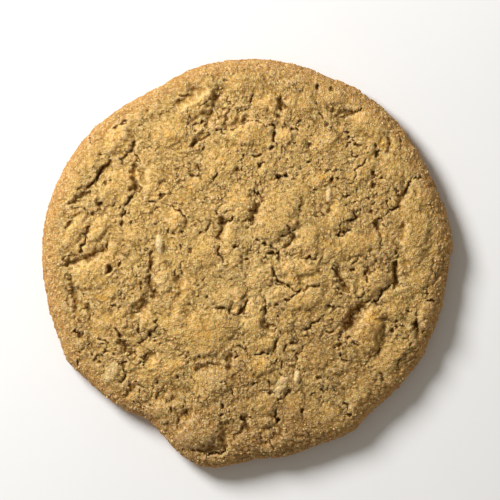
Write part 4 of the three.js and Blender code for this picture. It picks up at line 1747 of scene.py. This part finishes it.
@dataclass(frozen=True)
class Studio:
    """A pale floor, one soft lamp at the upper left, and a camera straight above.

    The studio's own sizes are in metres.
    """

    floor_side: float = 3.0
    lamp_way: float = 137.0
    lamp_height: float = 38.0
    lamp_distance: float = 0.5
    lamp_side: float = 0.2
    lamp_power: float = 3.4
    sky_light: float = 0.25
    sky_colour: Colour = (1.0, 0.93, 0.8)
    camera_over: tuple[float, float, float] = (0.00047, 0.00246, 1.0)
    nearest_seen: float = 0.01
    lens: float = 381.0
    sensor: float = 36.0

    def floor(self, finish: bpy.types.Material) -> None:
        """Lay the floor just under the cookie.

        Args:
            finish: The floor's finish.
        """
        half = self.floor_side / 2.0
        corners = np.array([(-half, -half, 0.0), (half, -half, 0.0), (half, half, 0.0), (-half, half, 0.0)])
        laid = closed_mesh("floor", corners, np.array([(0, 1, 2), (0, 2, 3)]))
        laid.data.materials.append(finish)

    def lamp(self) -> None:
        """Hang the soft lamp."""
        way = math.radians(self.lamp_way)
        height = math.radians(self.lamp_height)
        level = math.cos(height)
        toward = Vector((math.cos(way) * level, math.sin(way) * level, math.sin(height)))
        light = bpy.data.lights.new("soft_lamp", "AREA")
        light.shape = "DISK"
        light.size = self.lamp_side
        light.energy = self.lamp_power
        hung = bpy.data.objects.new("soft_lamp", light)
        hung.location = toward * self.lamp_distance
        hung.rotation_euler = toward.to_track_quat("Z", "Y").to_euler()
        bpy.context.scene.collection.objects.link(hung)

    def sky(self) -> None:
        """Fill the shadows with even, faintly warm light."""
        world = bpy.data.worlds.new("studio")
        world.use_nodes = True
        glow = world.node_tree.nodes["Background"].inputs
        glow["Color"].default_value = (*self.sky_colour, 1.0)
        glow["Strength"].default_value = self.sky_light
        bpy.context.scene.world = world

    def camera(self) -> None:
        """Set the camera straight above, with the photo's field of view."""
        lens = bpy.data.cameras.new("camera")
        lens.lens = self.lens
        lens.sensor_width = self.sensor
        lens.clip_start = self.nearest_seen
        placed = bpy.data.objects.new("camera", lens)
        placed.location = self.camera_over
        bpy.context.scene.collection.objects.link(placed)
        bpy.context.scene.camera = placed

    def build(self, bake: EffectGroup) -> None:
        """Set up the whole studio.

        Args:
            bake: The patches.
        """
        self.floor(StudioPaper().make(bake))
        self.lamp()
        self.sky()
        self.camera()
        bpy.context.scene.view_settings.view_transform = "Standard"


# ---- Putting it together --------------------------------------------------------------


def main() -> None:
    """Build the cookie and the studio around it."""
    logging.basicConfig(level=logging.INFO, format="%(name)s: %(message)s")
    grain = SandyGrain().make()
    plates = FinePlates().make()
    bake = patchy_bake()

    crust = Crust(CookieForm())
    cookie = crust.build()
    cookie.data.materials.append(BakedDough().make(grain, plates, bake))
    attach(cookie, "root")
    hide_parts(NODE)
    LOG.info("%s: %d triangles", crust.name, len(cookie.data.polygons))

    kinds = (
        (Crumbs("dough_crumbs", 2400, (0.18, 0.36), 0.6, 1.8, 0.35, Layer.DOUGH_CRUMBS),
         CrumbDough("crumb_dough", sight(220, 182, 120), sight(184, 145, 84))),
        (Crumbs("sugar_grains", 2400, (0.1, 0.18), 0.3, 3.0, 0.9, Layer.SUGAR_GRAINS),
         CrumbDough("crumb_sugar", sight(246, 210, 152), sight(206, 168, 108), 0.6)),
    )
    for crumbs, finish in kinds:
        scattered = crumbs.build(cookie, crust.masks, crust.lean)
        scattered.data.materials.append(finish.make(bake))
        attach(scattered, "root")
        LOG.info("%s: %d crumbs, %d triangles", crumbs.name, crumbs.count, len(scattered.data.polygons))

    Studio().build(bake)


if __name__ == "__main__":
    main()
